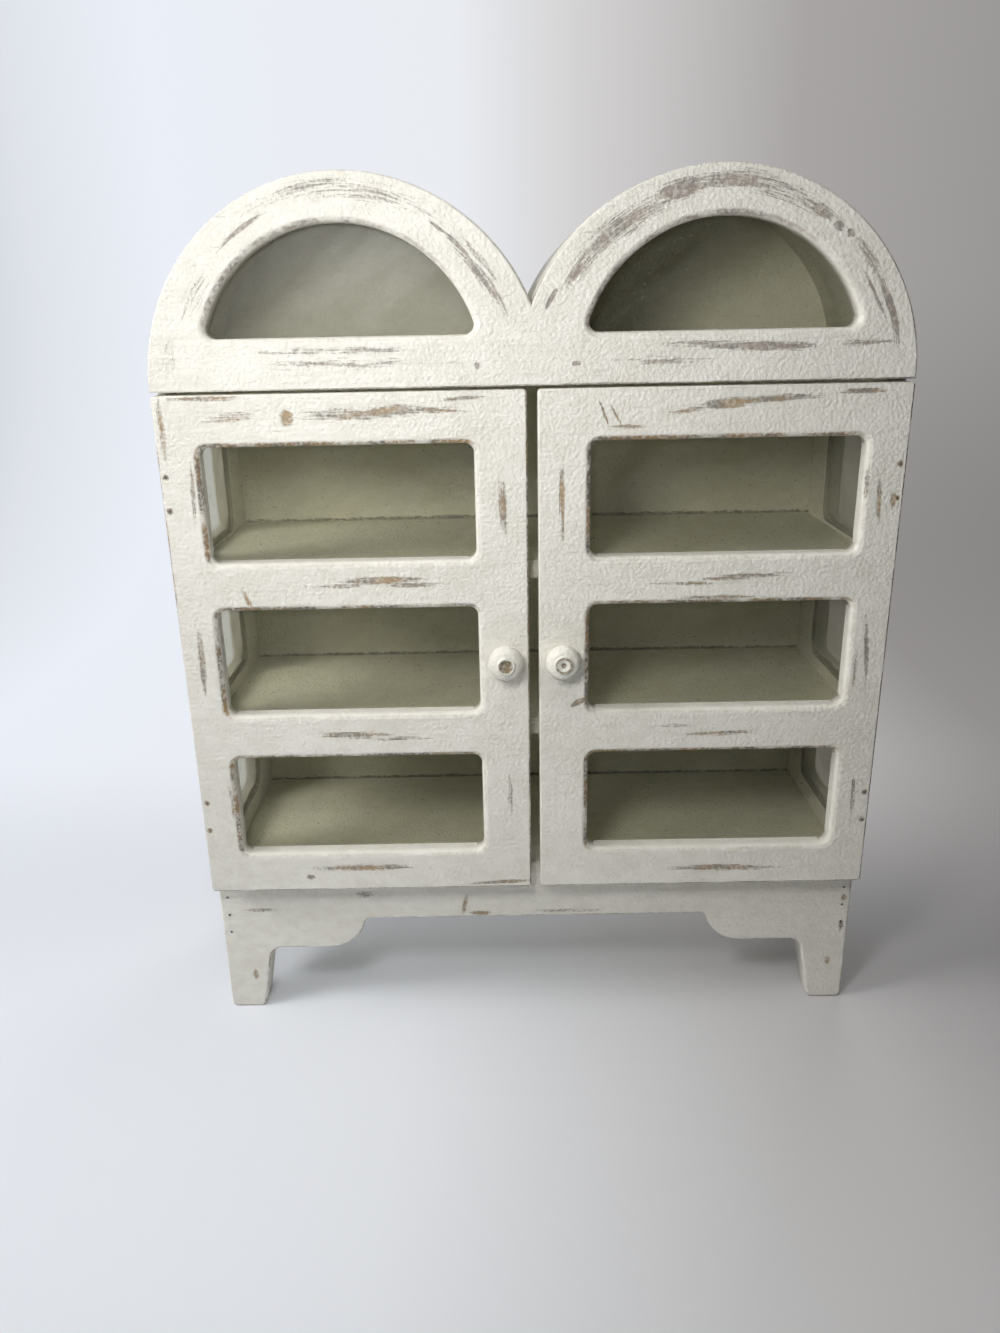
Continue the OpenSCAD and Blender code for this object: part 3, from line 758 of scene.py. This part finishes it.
def dusty_glass(name, thick):
    """Clear glass under a film of dust, whose greatest share of the surface is thick"""
    material = new_material(name)
    tree = material.node_tree
    place = place_of(tree)
    turned = node(tree, "Mapping", {"Vector": place, "Rotation": (0, WIPE_TILT, 0)}).outputs[0]
    wipes = noise_of(tree, turned, WIPE, detail=4.0)
    specks = ramp_of(tree, noise_of(tree, place, SPECK, detail=1.0), 0.70, 0.76)
    film = ramp_of(tree, wipes, 0.38, 0.66, 0.02, 0.05)
    film = math_of(tree, "MAXIMUM", film, math_of(tree, "MULTIPLY", specks, 0.35))
    film = math_of(tree, "MAXIMUM", film, math_of(tree, "MULTIPLY", wipes, thick))
    rim = node(tree, "LayerWeight", {"Blend": 0.10}).outputs["Fresnel"]
    share = math_of(tree, "ADD", film, math_of(tree, "MULTIPLY", rim, 0.35))
    share = math_of(tree, "MINIMUM", share, 0.9)
    sheet = node(tree, "BsdfPrincipled", {
        "Base Color": colour(DUST), "Roughness": 0.30, "Specular IOR Level": 0.5,
    })
    through = node(tree, "BsdfTransparent", {"Color": colour(GLASS_TINT)})
    mixed = node(tree, "MixShader", {0: share, 1: through.outputs[0], 2: sheet.outputs[0]})
    return finish_material(material, mixed.outputs[0])


wiped_glass = dusty_glass("wiped_glass", 0.0)
dusty_pane = dusty_glass("dusty_pane", 0.25)
# Thicker film on the right side panes: partly dust and partly painted shade, dimming what shows
# through on the right
dusty_shaded_side_glass = dusty_glass("dusty_shaded_side_glass", 0.55)
coat_nodes(wiped_glass, "left_side_panes", "left_door_panes", "right_door_panes", "right_arch_pane")
coat_nodes(dusty_shaded_side_glass, "right_side_panes")
coat_nodes(dusty_pane, "left_arch_pane")

# ---- Back panel ----
# A thin panel nailed over the back, with the two round heads of the case; inside, a dark broken
# line of painted shade runs where it meets each shelf.

shelf_tops = [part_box(name)[1].z / MM for name in ("bottom_board", "lower_shelf", "upper_shelf")]
seam_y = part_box("back_panel")[0].y / MM

# Painted shade in the corner along each shelf, drawn as dark broken strokes
SEAM_SHADE = ((0.16, 0.145, 0.115), (0.24, 0.21, 0.16))
SEAM_SHADE_STROKES = (1.6, 3, 0.9)
# The seams stand off the panel's inside, so that they do not show through on its outside
SEAM_OFF = 2.4
back_paint_with_seam_shade = painted("back_paint_with_seam_shade", lambda tree, place: sanded(
    tree, place, SEAM_SHADE_STROKES,
    [(0, seam_y - SEAM_OFF, top + 0.2, 170, 1.4, 0, 1.7) for top in shelf_tops],
), bare=SEAM_SHADE, cream=SHADED_INNER_CREAM, thin=SHADED_INNER_THIN, stray=0.3)
coat_nodes(back_paint_with_seam_shade, "back_panel")

# ---- Roof skins ----
# Two thin sheets bent over the round heads, from the side boards to the valley between them,
# and painted with the case.

ROOF_T = 3 * MM
ROOF_EASE = 0.5 * MM
ROOF_TURN = 165
ARCH_STEPS = 96

arch_low, arch_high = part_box("arch_front")
arch_r = arch_high.z - arch_low.z
arch_x = arch_high.x - arch_r
arch_z = arch_low.z
roof_low, roof_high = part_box("right_roof")
roof_r = roof_high.x - arch_x


def roof_skin(side):
    """A strip's cross-section spun over the arch, then cut off upright in the valley"""
    bm = bmesh.new()
    inner, outer = arch_x + roof_r - ROOF_T, arch_x + roof_r
    front, back = roof_low.y, roof_high.y
    corners = [
        (inner, front), (outer - ROOF_EASE, front), (outer, front + ROOF_EASE),
        (outer, back - ROOF_EASE), (outer - ROOF_EASE, back), (inner, back),
    ]
    verts = [bm.verts.new((x, y, arch_z)) for x, y in corners]
    end = bm.faces.new(verts)
    bmesh.ops.spin(
        bm, geom=[end], cent=(arch_x, 0, arch_z), axis=(0, -1, 0), angle=math.radians(ROOF_TURN),
        steps=ARCH_STEPS, dvec=(0, 0, 0), use_duplicate=False,
    )
    cut = bmesh.ops.bisect_plane(
        bm, geom=bm.verts[:] + bm.edges[:] + bm.faces[:], dist=ON_PLANE,
        plane_co=(0, 0, 0), plane_no=(1, 0, 0), clear_inner=True,
    )["geom_cut"]
    bmesh.ops.edgeloop_fill(bm, edges=of_kind(cut, bmesh.types.BMEdge))
    bmesh.ops.scale(bm, verts=bm.verts[:], vec=(side, 1, 1))
    bmesh.ops.recalc_face_normals(bm, faces=bm.faces[:])
    shade_smooth(bm, flat_axes=(1,))
    return bm


for side, name in ((-1, "left"), (1, "right")):
    skin = object_from(roof_skin(side), "roof_skin_" + name, side_paint, "carcass")
    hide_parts(name + "_roof")

# ---- Arched front ----
# One board with two arches that meet in a notch, glued to the front of the case over the
# doors, with two half-round windows. The sanding follows the arches and the sill.

ARCH_WINDOW_CORNER = 3 * MM
ARCH_WINDOW_LIFT = 4.2 * MM
FRONT_EASE = 0.6 * MM
WINDOW_EASE = 2 * MM
GLASS_LAP = 3 * MM
ARCH_FRONT_STEPS = 64
ARCH_CORNER_STEPS = 10

arch_pane_low, arch_pane_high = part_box("right_arch_pane")
arch_window_x = (arch_pane_low.x + arch_pane_high.x) / 2
arch_window_r = arch_pane_high.z - arch_z - ARCH_WINDOW_LIFT - (GLASS_LAP - GLASS_CLEAR)
sill = arch_pane_low.z - arch_z + (GLASS_LAP - GLASS_CLEAR)


def closed(bm, line):
    """The line with an edge between its two ends"""
    ends = [vert for edge in line for vert in edge.verts if len(vert.link_edges) == 1]
    return line + [bm.edges.new(ends)]


def arch_turn(grow):
    """Where the grown arch starts on the outside, how high it ends in the notch, and how far
    it turns; the front stands on Z = 0"""
    radius = arch_r + grow
    first = math.asin(-grow / radius)
    notch = math.acos(-arch_x / radius)
    foot_x = arch_x + radius * math.cos(first)
    return foot_x, radius * math.sin(notch), math.degrees(notch - first)


def arch_outline(bm, y, grow):
    """Right arch and left arch over one straight foot"""
    foot_x, _, sweep = arch_turn(grow)
    return closed(bm, draw(bm, (foot_x, -grow), y, [
        (arch_x, 0, sweep, ARCH_FRONT_STEPS), (-arch_x, 0, sweep, ARCH_FRONT_STEPS),
    ]))


def arch_window(middle):
    """Half-round window whose lower corners are rounded"""
    corner_z = sill + ARCH_WINDOW_CORNER
    rise = corner_z - ARCH_WINDOW_LIFT
    corner_x = math.sqrt((arch_window_r - ARCH_WINDOW_CORNER) ** 2 - rise ** 2)
    meet = math.degrees(math.atan2(rise, corner_x))

    def line(bm, y, grow):
        return closed(bm, draw(bm, (middle + corner_x, sill - grow), y, [
            (middle + corner_x, corner_z, 90 + meet, ARCH_CORNER_STEPS),
            (middle, ARCH_WINDOW_LIFT, 180 - 2 * meet, ARCH_FRONT_STEPS),
            (middle - corner_x, corner_z, 90 + meet, ARCH_CORNER_STEPS),
        ]))

    return line


def right_cell(bm, y, grow):
    """Half of the front, from its foot over the arch and down from the notch, in as many steps
    as its window"""
    foot_x, _, sweep = arch_turn(grow)
    foot, middle = (foot_x, -grow), (0, -grow)
    return closed(bm, draw(bm, foot, y, (
        [foot] * ARCH_CORNER_STEPS + [(arch_x, 0, sweep, ARCH_FRONT_STEPS)]
        + [middle] * ARCH_CORNER_STEPS)))


def left_cell(bm, y, grow):
    """The other half, which starts at the middle of the foot and goes up the notch first"""
    foot_x, notch_z, sweep = arch_turn(grow)
    foot, middle, notch = (-foot_x, -grow), (0, -grow), (0, notch_z)
    return closed(bm, draw(bm, middle, y, (
        [middle] * (ARCH_CORNER_STEPS - 1) + [notch] + [(-arch_x, 0, sweep, ARCH_FRONT_STEPS)]
        + [foot] * ARCH_CORNER_STEPS)))


bm = cut_board(
    arch_outline, [arch_window(-arch_window_x), arch_window(arch_window_x)],
    [left_cell, right_cell], [((0, 0, 0), (1, 0, 0))], arch_high.y - arch_low.y,
    FRONT_EASE, WINDOW_EASE, GLASS_LAP,
)
bmesh.ops.translate(bm, verts=bm.verts[:], vec=(0, arch_low.y, arch_z))
mark_arris(bm, axis=1, facing=-1)
shade_smooth(bm)

ARCH_WOOD = ((0.23, 0.205, 0.185), (0.32, 0.255, 0.205))
FRONT_Y = -38.75
# Marks on the arches start with the mm round the arch from its outer foot, at the radius
# ARCH_MARK_R, then say which arch by the sign of ARCH_SIDE, and the mm from the arch's centre
ARCH_SIDE = 40
ARCH_MARK_R = 56
ARCH_MARKS = [
    (96, -ARCH_SIDE, 57, 24, 3.4, 0, 0.42), (80, -ARCH_SIDE, 58.5, 20, 2.2, 0, 0.45),
    (56, -ARCH_SIDE, 55, 9, 0.8, 2, 0.9), (33, -ARCH_SIDE, 53, 12, 3.0, 0, 0.34),
    (120, -ARCH_SIDE, 55, 3.0, 0.6, -6, 1.2), (128, -ARCH_SIDE, 54.5, 6.5, 0.8, -4, 1.1),
    (141, -ARCH_SIDE, 53.5, 14, 1.7, 2, 0.75), (134, -ARCH_SIDE, 56.5, 10, 1.0, 0, 0.6),
    (10, -ARCH_SIDE, 56, 9, 3.0, 0, 0.3),
    (122, ARCH_SIDE, 55, 24, 3.6, 0, 0.75), (101, ARCH_SIDE, 57, 8, 2.8, 0, 1.1),
    (84, ARCH_SIDE, 58, 14, 2.8, 0, 0.85), (68, ARCH_SIDE, 57, 18, 3.0, 0, 0.55),
    (140, ARCH_SIDE, 55, 4.0, 1.3, 4, 1.35), (150, ARCH_SIDE, 57.5, 3.4, 0.9, 8, 1.2),
    (58, ARCH_SIDE, 56.5, 3.6, 1.6, 0, 1.35), (51, ARCH_SIDE, 56, 1.6, 1.4, 0, 1.3),
    (47, ARCH_SIDE, 57, 1.2, 1.2, 0, 1.2), (21, ARCH_SIDE, 56.5, 12, 1.3, 0, 1.0),
    (27, ARCH_SIDE, 53.5, 9, 0.9, -3, 0.8), (38, ARCH_SIDE, 57, 7, 1.8, 0, 0.6),
]
SILL_MARKS = [
    (-62, FRONT_Y, 248.6, 26, 1.2, 0, 0.50), (-58, FRONT_Y, 244.6, 28, 1.9, 0, 0.45),
    (71, FRONT_Y, 247.6, 19, 1.4, -1, 1.05), (58, FRONT_Y, 248.5, 22, 1.2, 0, 0.6),
    (104, FRONT_Y, 248, 10, 1.2, 0, 0.55), (14, FRONT_Y, 243.5, 1.6, 0.8, 0, 1.2),
    (-17, FRONT_Y, 243.5, 0.8, 1.3, 10, 1.2), (40, FRONT_Y, 244, 18, 1.4, 0, 0.4),
]


def sanded_arches(tree, place):
    """Marks that run round the arches, and level ones along the sill"""
    split = node(tree, "SeparateXYZ", {"Vector": place}).outputs
    across = math_of(tree, "SUBTRACT", math_of(tree, "ABSOLUTE", split["X"]), arch_x / MM)
    above = math_of(tree, "SUBTRACT", split["Z"], arch_z / MM)
    angle = math_of(tree, "ARCTAN2", above, across)
    away = length_of(tree, node(tree, "CombineXYZ", {"X": across, "Z": above}).outputs[0])
    which = math_of(tree, "MULTIPLY", math_of(tree, "SIGN", split["X"]), ARCH_SIDE)
    around = node(tree, "CombineXYZ", {
        "X": math_of(tree, "MULTIPLY", angle, ARCH_MARK_R), "Y": which, "Z": away,
    }).outputs[0]
    return math_of(
        tree, "MAXIMUM", sanded(tree, around, LEVEL_STROKES, ARCH_MARKS),
        sanded(tree, place, LEVEL_STROKES, SILL_MARKS),
    )


arch_paint = painted("arch_paint", sanded_arches, bare=ARCH_WOOD)
arch_front = object_from(bm, "arched_front", arch_paint, "carcass")
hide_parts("arch_front")

# ---- Doors ----
# Each door is one board cut for three windows, with every front edge rounded over. The
# rails are sanded through along their length and the stiles up and down.

DOOR_RAIL = 16.4 * MM
DOOR_CORNER = 1.2 * MM
DOOR_WINDOW_CORNER = 3 * MM


def door_board(side):
    """Laid out across and up about its middle, then moved to its place in the front"""
    low, high, glass_low, glass_high = window_places("right_door", "right_door_panes", GLASS_LAP)
    middle = Vector(((low.x + high.x) / 2, (low.z + high.z) / 2))
    size = (high.x - low.x, high.z - low.z)
    window_x = (glass_low.x + glass_high.x) / 2 - middle.x
    window_h = (glass_high.z - glass_low.z - 2 * DOOR_RAIL) / 3
    window_size = (glass_high.x - glass_low.x, window_h)
    heights = three_windows(glass_low.z - middle.y, glass_high.z - middle.y, window_h)
    bm = windowed_board(
        size, DOOR_CORNER, window_x, heights, window_size, DOOR_WINDOW_CORNER, high.y - low.y,
        (FRONT_EASE, WINDOW_EASE), GLASS_LAP,
    )
    bmesh.ops.translate(bm, verts=bm.verts[:], vec=(middle.x, low.y, middle.y))
    bmesh.ops.scale(bm, verts=bm.verts[:], vec=(side, 1, 1))
    bmesh.ops.recalc_face_normals(bm, faces=bm.faces[:])
    mark_arris(bm, axis=1, facing=-1)
    shade_smooth(bm)
    return bm


def sanded_door(rails, stiles):
    return lambda tree, place: math_of(
        tree, "MAXIMUM", sanded(tree, place, LEVEL_STROKES, rails),
        sanded(tree, place, UPRIGHT_STROKES, stiles),
    )


# Where the points of the hinge nails come through, each in a ring of bare wood
NAIL_X = 118
NAIL_Z = (83, 94, 199.6, 210.6)
LEFT_RAIL_MARKS = [
    (-77.6, FRONT_Y, 228.6, 2.0, 2.6, 0, 1.35), (-59, FRONT_Y, 229.3, 14, 2.4, 0, 0.72),
    (-45, FRONT_Y, 230.2, 11, 2.0, 2, 1.0), (-32, FRONT_Y, 230.4, 10, 1.1, -3, 0.8),
    (-96, FRONT_Y, 229, 8, 1.8, 4, 0.55), (-22, FRONT_Y, 233.5, 7, 0.8, 3, 0.8),
    (-103, FRONT_Y, 235, 13, 0.8, 0, 0.9), (-50, FRONT_Y, 175.2, 13, 1.5, 0, 1.05),
    (-40, FRONT_Y, 173.5, 14, 0.9, 0, 0.75), (-66, FRONT_Y, 173.6, 12, 0.9, 0, 0.6),
    (-62, FRONT_Y, 119.6, 14, 1.3, 0, 0.9), (-45, FRONT_Y, 118, 12, 0.9, 0, 0.6),
    (-62, FRONT_Y, 66.6, 18, 1.4, 0, 1.05), (-83, FRONT_Y, 62.9, 1.6, 1.3, 0, 1.3),
    (-12, FRONT_Y, 59.6, 13, 0.9, 3, 1.0),
]
LEFT_STILE_MARKS = [
    (-9.8, FRONT_Y, 199.5, 1.6, 9, 3, 0.95), (-109.8, FRONT_Y, 206, 0.9, 10, -3, 0.85),
    (-107, FRONT_Y, 202, 0.7, 9, 0, 0.6), (-113.5, FRONT_Y, 147, 1.3, 12, -2, 0.9),
    (-109, FRONT_Y, 95, 1.0, 9, 0, 0.6), (-9, FRONT_Y, 95, 1.1, 8, 0, 0.6),
    (-117.5, FRONT_Y, 224, 1.0, 12, 0, 0.7), (-120.2, FRONT_Y, 190, 0.9, 50, 0, 0.9),
    (-96, FRONT_Y, 169.5, 0.8, 3.6, 22, 1.2),
]
RIGHT_RAIL_MARKS = [
    (63, FRONT_Y, 230.6, 11, 1.6, 4, 1.1), (77, FRONT_Y, 231.8, 15, 1.2, 3, 0.95),
    (50, FRONT_Y, 228.8, 8, 0.9, 8, 0.75), (70, FRONT_Y, 174.3, 14, 1.1, 3, 0.85),
    (50, FRONT_Y, 172.3, 12, 0.9, 0, 0.6), (62, FRONT_Y, 167.4, 15, 0.8, 0, 0.8),
    (64, FRONT_Y, 118, 13, 1.2, 2, 0.85), (50, FRONT_Y, 121, 9, 0.8, 0, 0.6),
    (68, FRONT_Y, 64.2, 20, 1.3, 0, 1.0), (15.5, FRONT_Y, 130.6, 3.6, 1.0, 30, 1.9),
    (19.0, FRONT_Y, 132.5, 1.2, 2.1, 0, 1.8), (104, FRONT_Y, 233.6, 8, 0.9, 0, 0.9),
    (30, FRONT_Y, 224, 6, 0.8, 0, 0.8),
]
RIGHT_STILE_MARKS = [
    (9.3, FRONT_Y, 203, 1.1, 9, 0, 1.05), (9.6, FRONT_Y, 196, 0.7, 12, 0, 0.75),
    (112.3, FRONT_Y, 199, 0.8, 9, 4, 0.9), (108, FRONT_Y, 205, 0.7, 8, 0, 0.7),
    (117, FRONT_Y, 199, 1.3, 2.8, 0, 1.1), (113.5, FRONT_Y, 146, 0.9, 14, 6, 0.9),
    (110, FRONT_Y, 140, 0.8, 11, 0, 0.6), (22.8, FRONT_Y, 228, 0.45, 4.6, 22, 1.3),
    (26.5, FRONT_Y, 227.5, 0.4, 3.6, 30, 1.1), (114, FRONT_Y, 92, 0.9, 10, 3, 0.7),
]
LEFT_STILE_MARKS += [(-NAIL_X, FRONT_Y, z, 1.0, 1.0, 0, 1.8) for z in NAIL_Z]
RIGHT_STILE_MARKS += [(NAIL_X, FRONT_Y, z, 1.0, 1.0, 0, 1.8) for z in NAIL_Z]
left_wear = sanded_door(LEFT_RAIL_MARKS, LEFT_STILE_MARKS)
right_wear = sanded_door(RIGHT_RAIL_MARKS, RIGHT_STILE_MARKS)
for side, name, wear in ((-1, "left_door", left_wear), (1, "right_door", right_wear)):
    paint = painted(name + "_paint", wear, worn_edges=1.5)
    door = object_from(door_board(side), name + "_board", paint, name)
    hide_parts(name)

# ---- Knobs ----
# A small turned mushroom knob on each door, painted with it. The flat boss on the front is
# rubbed to bare wood on the left one and shows its turning rings on the right one.

BOSS_R = 3.2 * MM
BOSS_H = 0.9 * MM
KNOB_STEPS = 96
DOME_STEPS = 10
# How fast the turning rings follow each other, in radians a mm
RING_TURN = 3.1
BARE_BOSS = ((0.15, 0.10, 0.042), (0.29, 0.20, 0.09))


def knob_turning(side):
    """Shank, dome and boss as one line of (distance from the axis, reach from the door), spun"""
    low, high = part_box("right_knob")
    rim = (high.x - low.x) / 2
    middle = (low + high) / 2
    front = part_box("right_door")[0].y
    reach = front - low.y
    crown = reach - BOSS_H
    widest = crown * 0.55
    bm = bmesh.new()
    shank = [
        (0, 0), (rim * 0.66, 0), (rim * 0.60, crown * 0.10), (rim * 0.60, crown * 0.22),
        (rim * 0.68, crown * 0.32), (rim * 0.86, widest * 0.74), (rim * 0.97, widest * 0.90),
    ]
    dome = [(BOSS_R + (rim - BOSS_R) * math.cos(turn), widest + (crown - widest) * math.sin(turn))
            for turn in (math.radians(90 * step / DOME_STEPS) for step in range(DOME_STEPS + 1))]
    boss = [
        (BOSS_R * 0.96, reach - BOSS_H * 0.8), (BOSS_R * 0.97, reach - BOSS_H * 0.3),
        (BOSS_R * 0.88, reach), (BOSS_R * 0.72, reach),
        (BOSS_R * 0.62, reach - BOSS_H * 0.35), (0, reach - BOSS_H * 0.40),
    ]
    line = [bm.verts.new((away, -out, 0)) for away, out in shank + dome + boss]
    edges = [bm.edges.new(pair) for pair in zip(line, line[1:])]
    bmesh.ops.spin(
        bm, geom=line + edges, cent=(0, 0, 0), axis=(0, 1, 0), angle=2 * math.pi,
        steps=KNOB_STEPS, dvec=(0, 0, 0), use_merge=True, use_duplicate=False,
    )
    bmesh.ops.remove_doubles(bm, verts=bm.verts[:], dist=TOUCH)
    bmesh.ops.translate(bm, verts=bm.verts[:], vec=(middle.x, front, middle.z))
    bmesh.ops.scale(bm, verts=bm.verts[:], vec=(side, 1, 1))
    bmesh.ops.recalc_face_normals(bm, faces=bm.faces[:])
    for face in bm.faces:
        face.smooth = True
    return bm


def knob_wear(side, rings):
    """Turning rings on the boss, or bare wood on it and a crack beside it"""
    low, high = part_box("right_knob")
    middle = (low + high) / 2 / MM

    def wear(tree, place):
        centre = (-side * middle.x, 0, -middle.z)
        off = node(tree, "VectorMath", {0: place, 1: centre}, operation="ADD").outputs[0]
        off = node(tree, "VectorMath", {0: off, 1: (1, 0, 1)}, operation="MULTIPLY").outputs[0]
        away = length_of(tree, off)
        rough = noise_of(tree, place, 0.5, detail=4.0)
        if rings:
            turns = math_of(tree, "SINE", math_of(tree, "MULTIPLY", away, RING_TURN))
            mark = math_of(tree, "MULTIPLY", ramp_of(tree, turns, -0.1, 0.7),
                           ramp_of(tree, away, 2.6, 3.8, 1.0, 0.0))
            return math_of(tree, "MULTIPLY", mark, ramp_of(tree, rough, 0.28, 0.50))
        ragged = math_of(tree, "MULTIPLY_ADD", rough, 0.9, away)
        bare = ramp_of(tree, ragged, 2.65, 2.95, 1.0, 0.0)
        beside = (side * middle.x + 2.9, 0, middle.z + 0.4, 0.55, 1.9, 0, 1.4)
        return math_of(tree, "MAXIMUM", bare, sanded(tree, place, (0.6, 3, 1.2), [beside]))

    return wear


for side, name, rings in ((-1, "left", False), (1, "right", True)):
    paint = painted(name + "_knob_paint", knob_wear(side, rings), bare=BARE_BOSS, stray=0.2)
    knob = object_from(knob_turning(side), name + "_knob_turning", paint, name + "_door")
    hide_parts(name + "_knob")

# ---- Hinges ----
# Four small steel butt hinges, let in between door and case and painted over with them;
# the paint has chipped from the barrels and the nails.

HINGE_PAINT = (0.66, 0.65, 0.60)
DULL_STEEL = (0.20, 0.19, 0.18)
CHIP = 1.4


def chipped_steel(name, covered):
    """Dull steel with what is left of the paint: covered is the share that still has it"""
    material = new_material(name)
    tree = material.node_tree
    place = place_of(tree)
    blotch = noise_of(tree, place, CHIP, detail=4.0)
    left = ramp_of(tree, blotch, 0.62 - 0.3 * covered, 0.70 - 0.3 * covered)
    shown = blend(tree, left, colour(DULL_STEEL), colour(HINGE_PAINT))
    height = math_of(tree, "MULTIPLY_ADD", noise_of(tree, place, 0.4), 0.4, left)
    relief = node(tree, "Bump", {"Strength": 0.5, "Distance": 0.1 * MM, "Height": height})
    surface = node(tree, "BsdfPrincipled", {
        "Base Color": shown, "Metallic": math_of(tree, "SUBTRACT", 1.0, left),
        "Roughness": math_of(tree, "MULTIPLY_ADD", left, 0.1, 0.42), "Normal": relief.outputs[0],
    })
    return finish_material(material, surface.outputs[0])


hinge_steel = chipped_steel("hinge_steel", 0.75)
coat_nodes(
    hinge_steel, "left_case_leaves", "right_case_leaves", "left_door_leaves", "right_door_leaves",
)

# ---- Pins and nails ----
# Steel wire pins in the hinges, and the wire nails that hold the boards, the back and the
# hinge leaves; the points of the door nails come through the front of the doors.

nail_steel = chipped_steel("nail_steel", 0.15)
coat_nodes(
    nail_steel, "left_hinge_pins", "right_hinge_pins", "left_door_nails", "right_door_nails",
    "case_hinge_nails", "shelf_nails", "top_board_nails", "bottom_board_nails", "apron_nails",
    "back_nails",
)
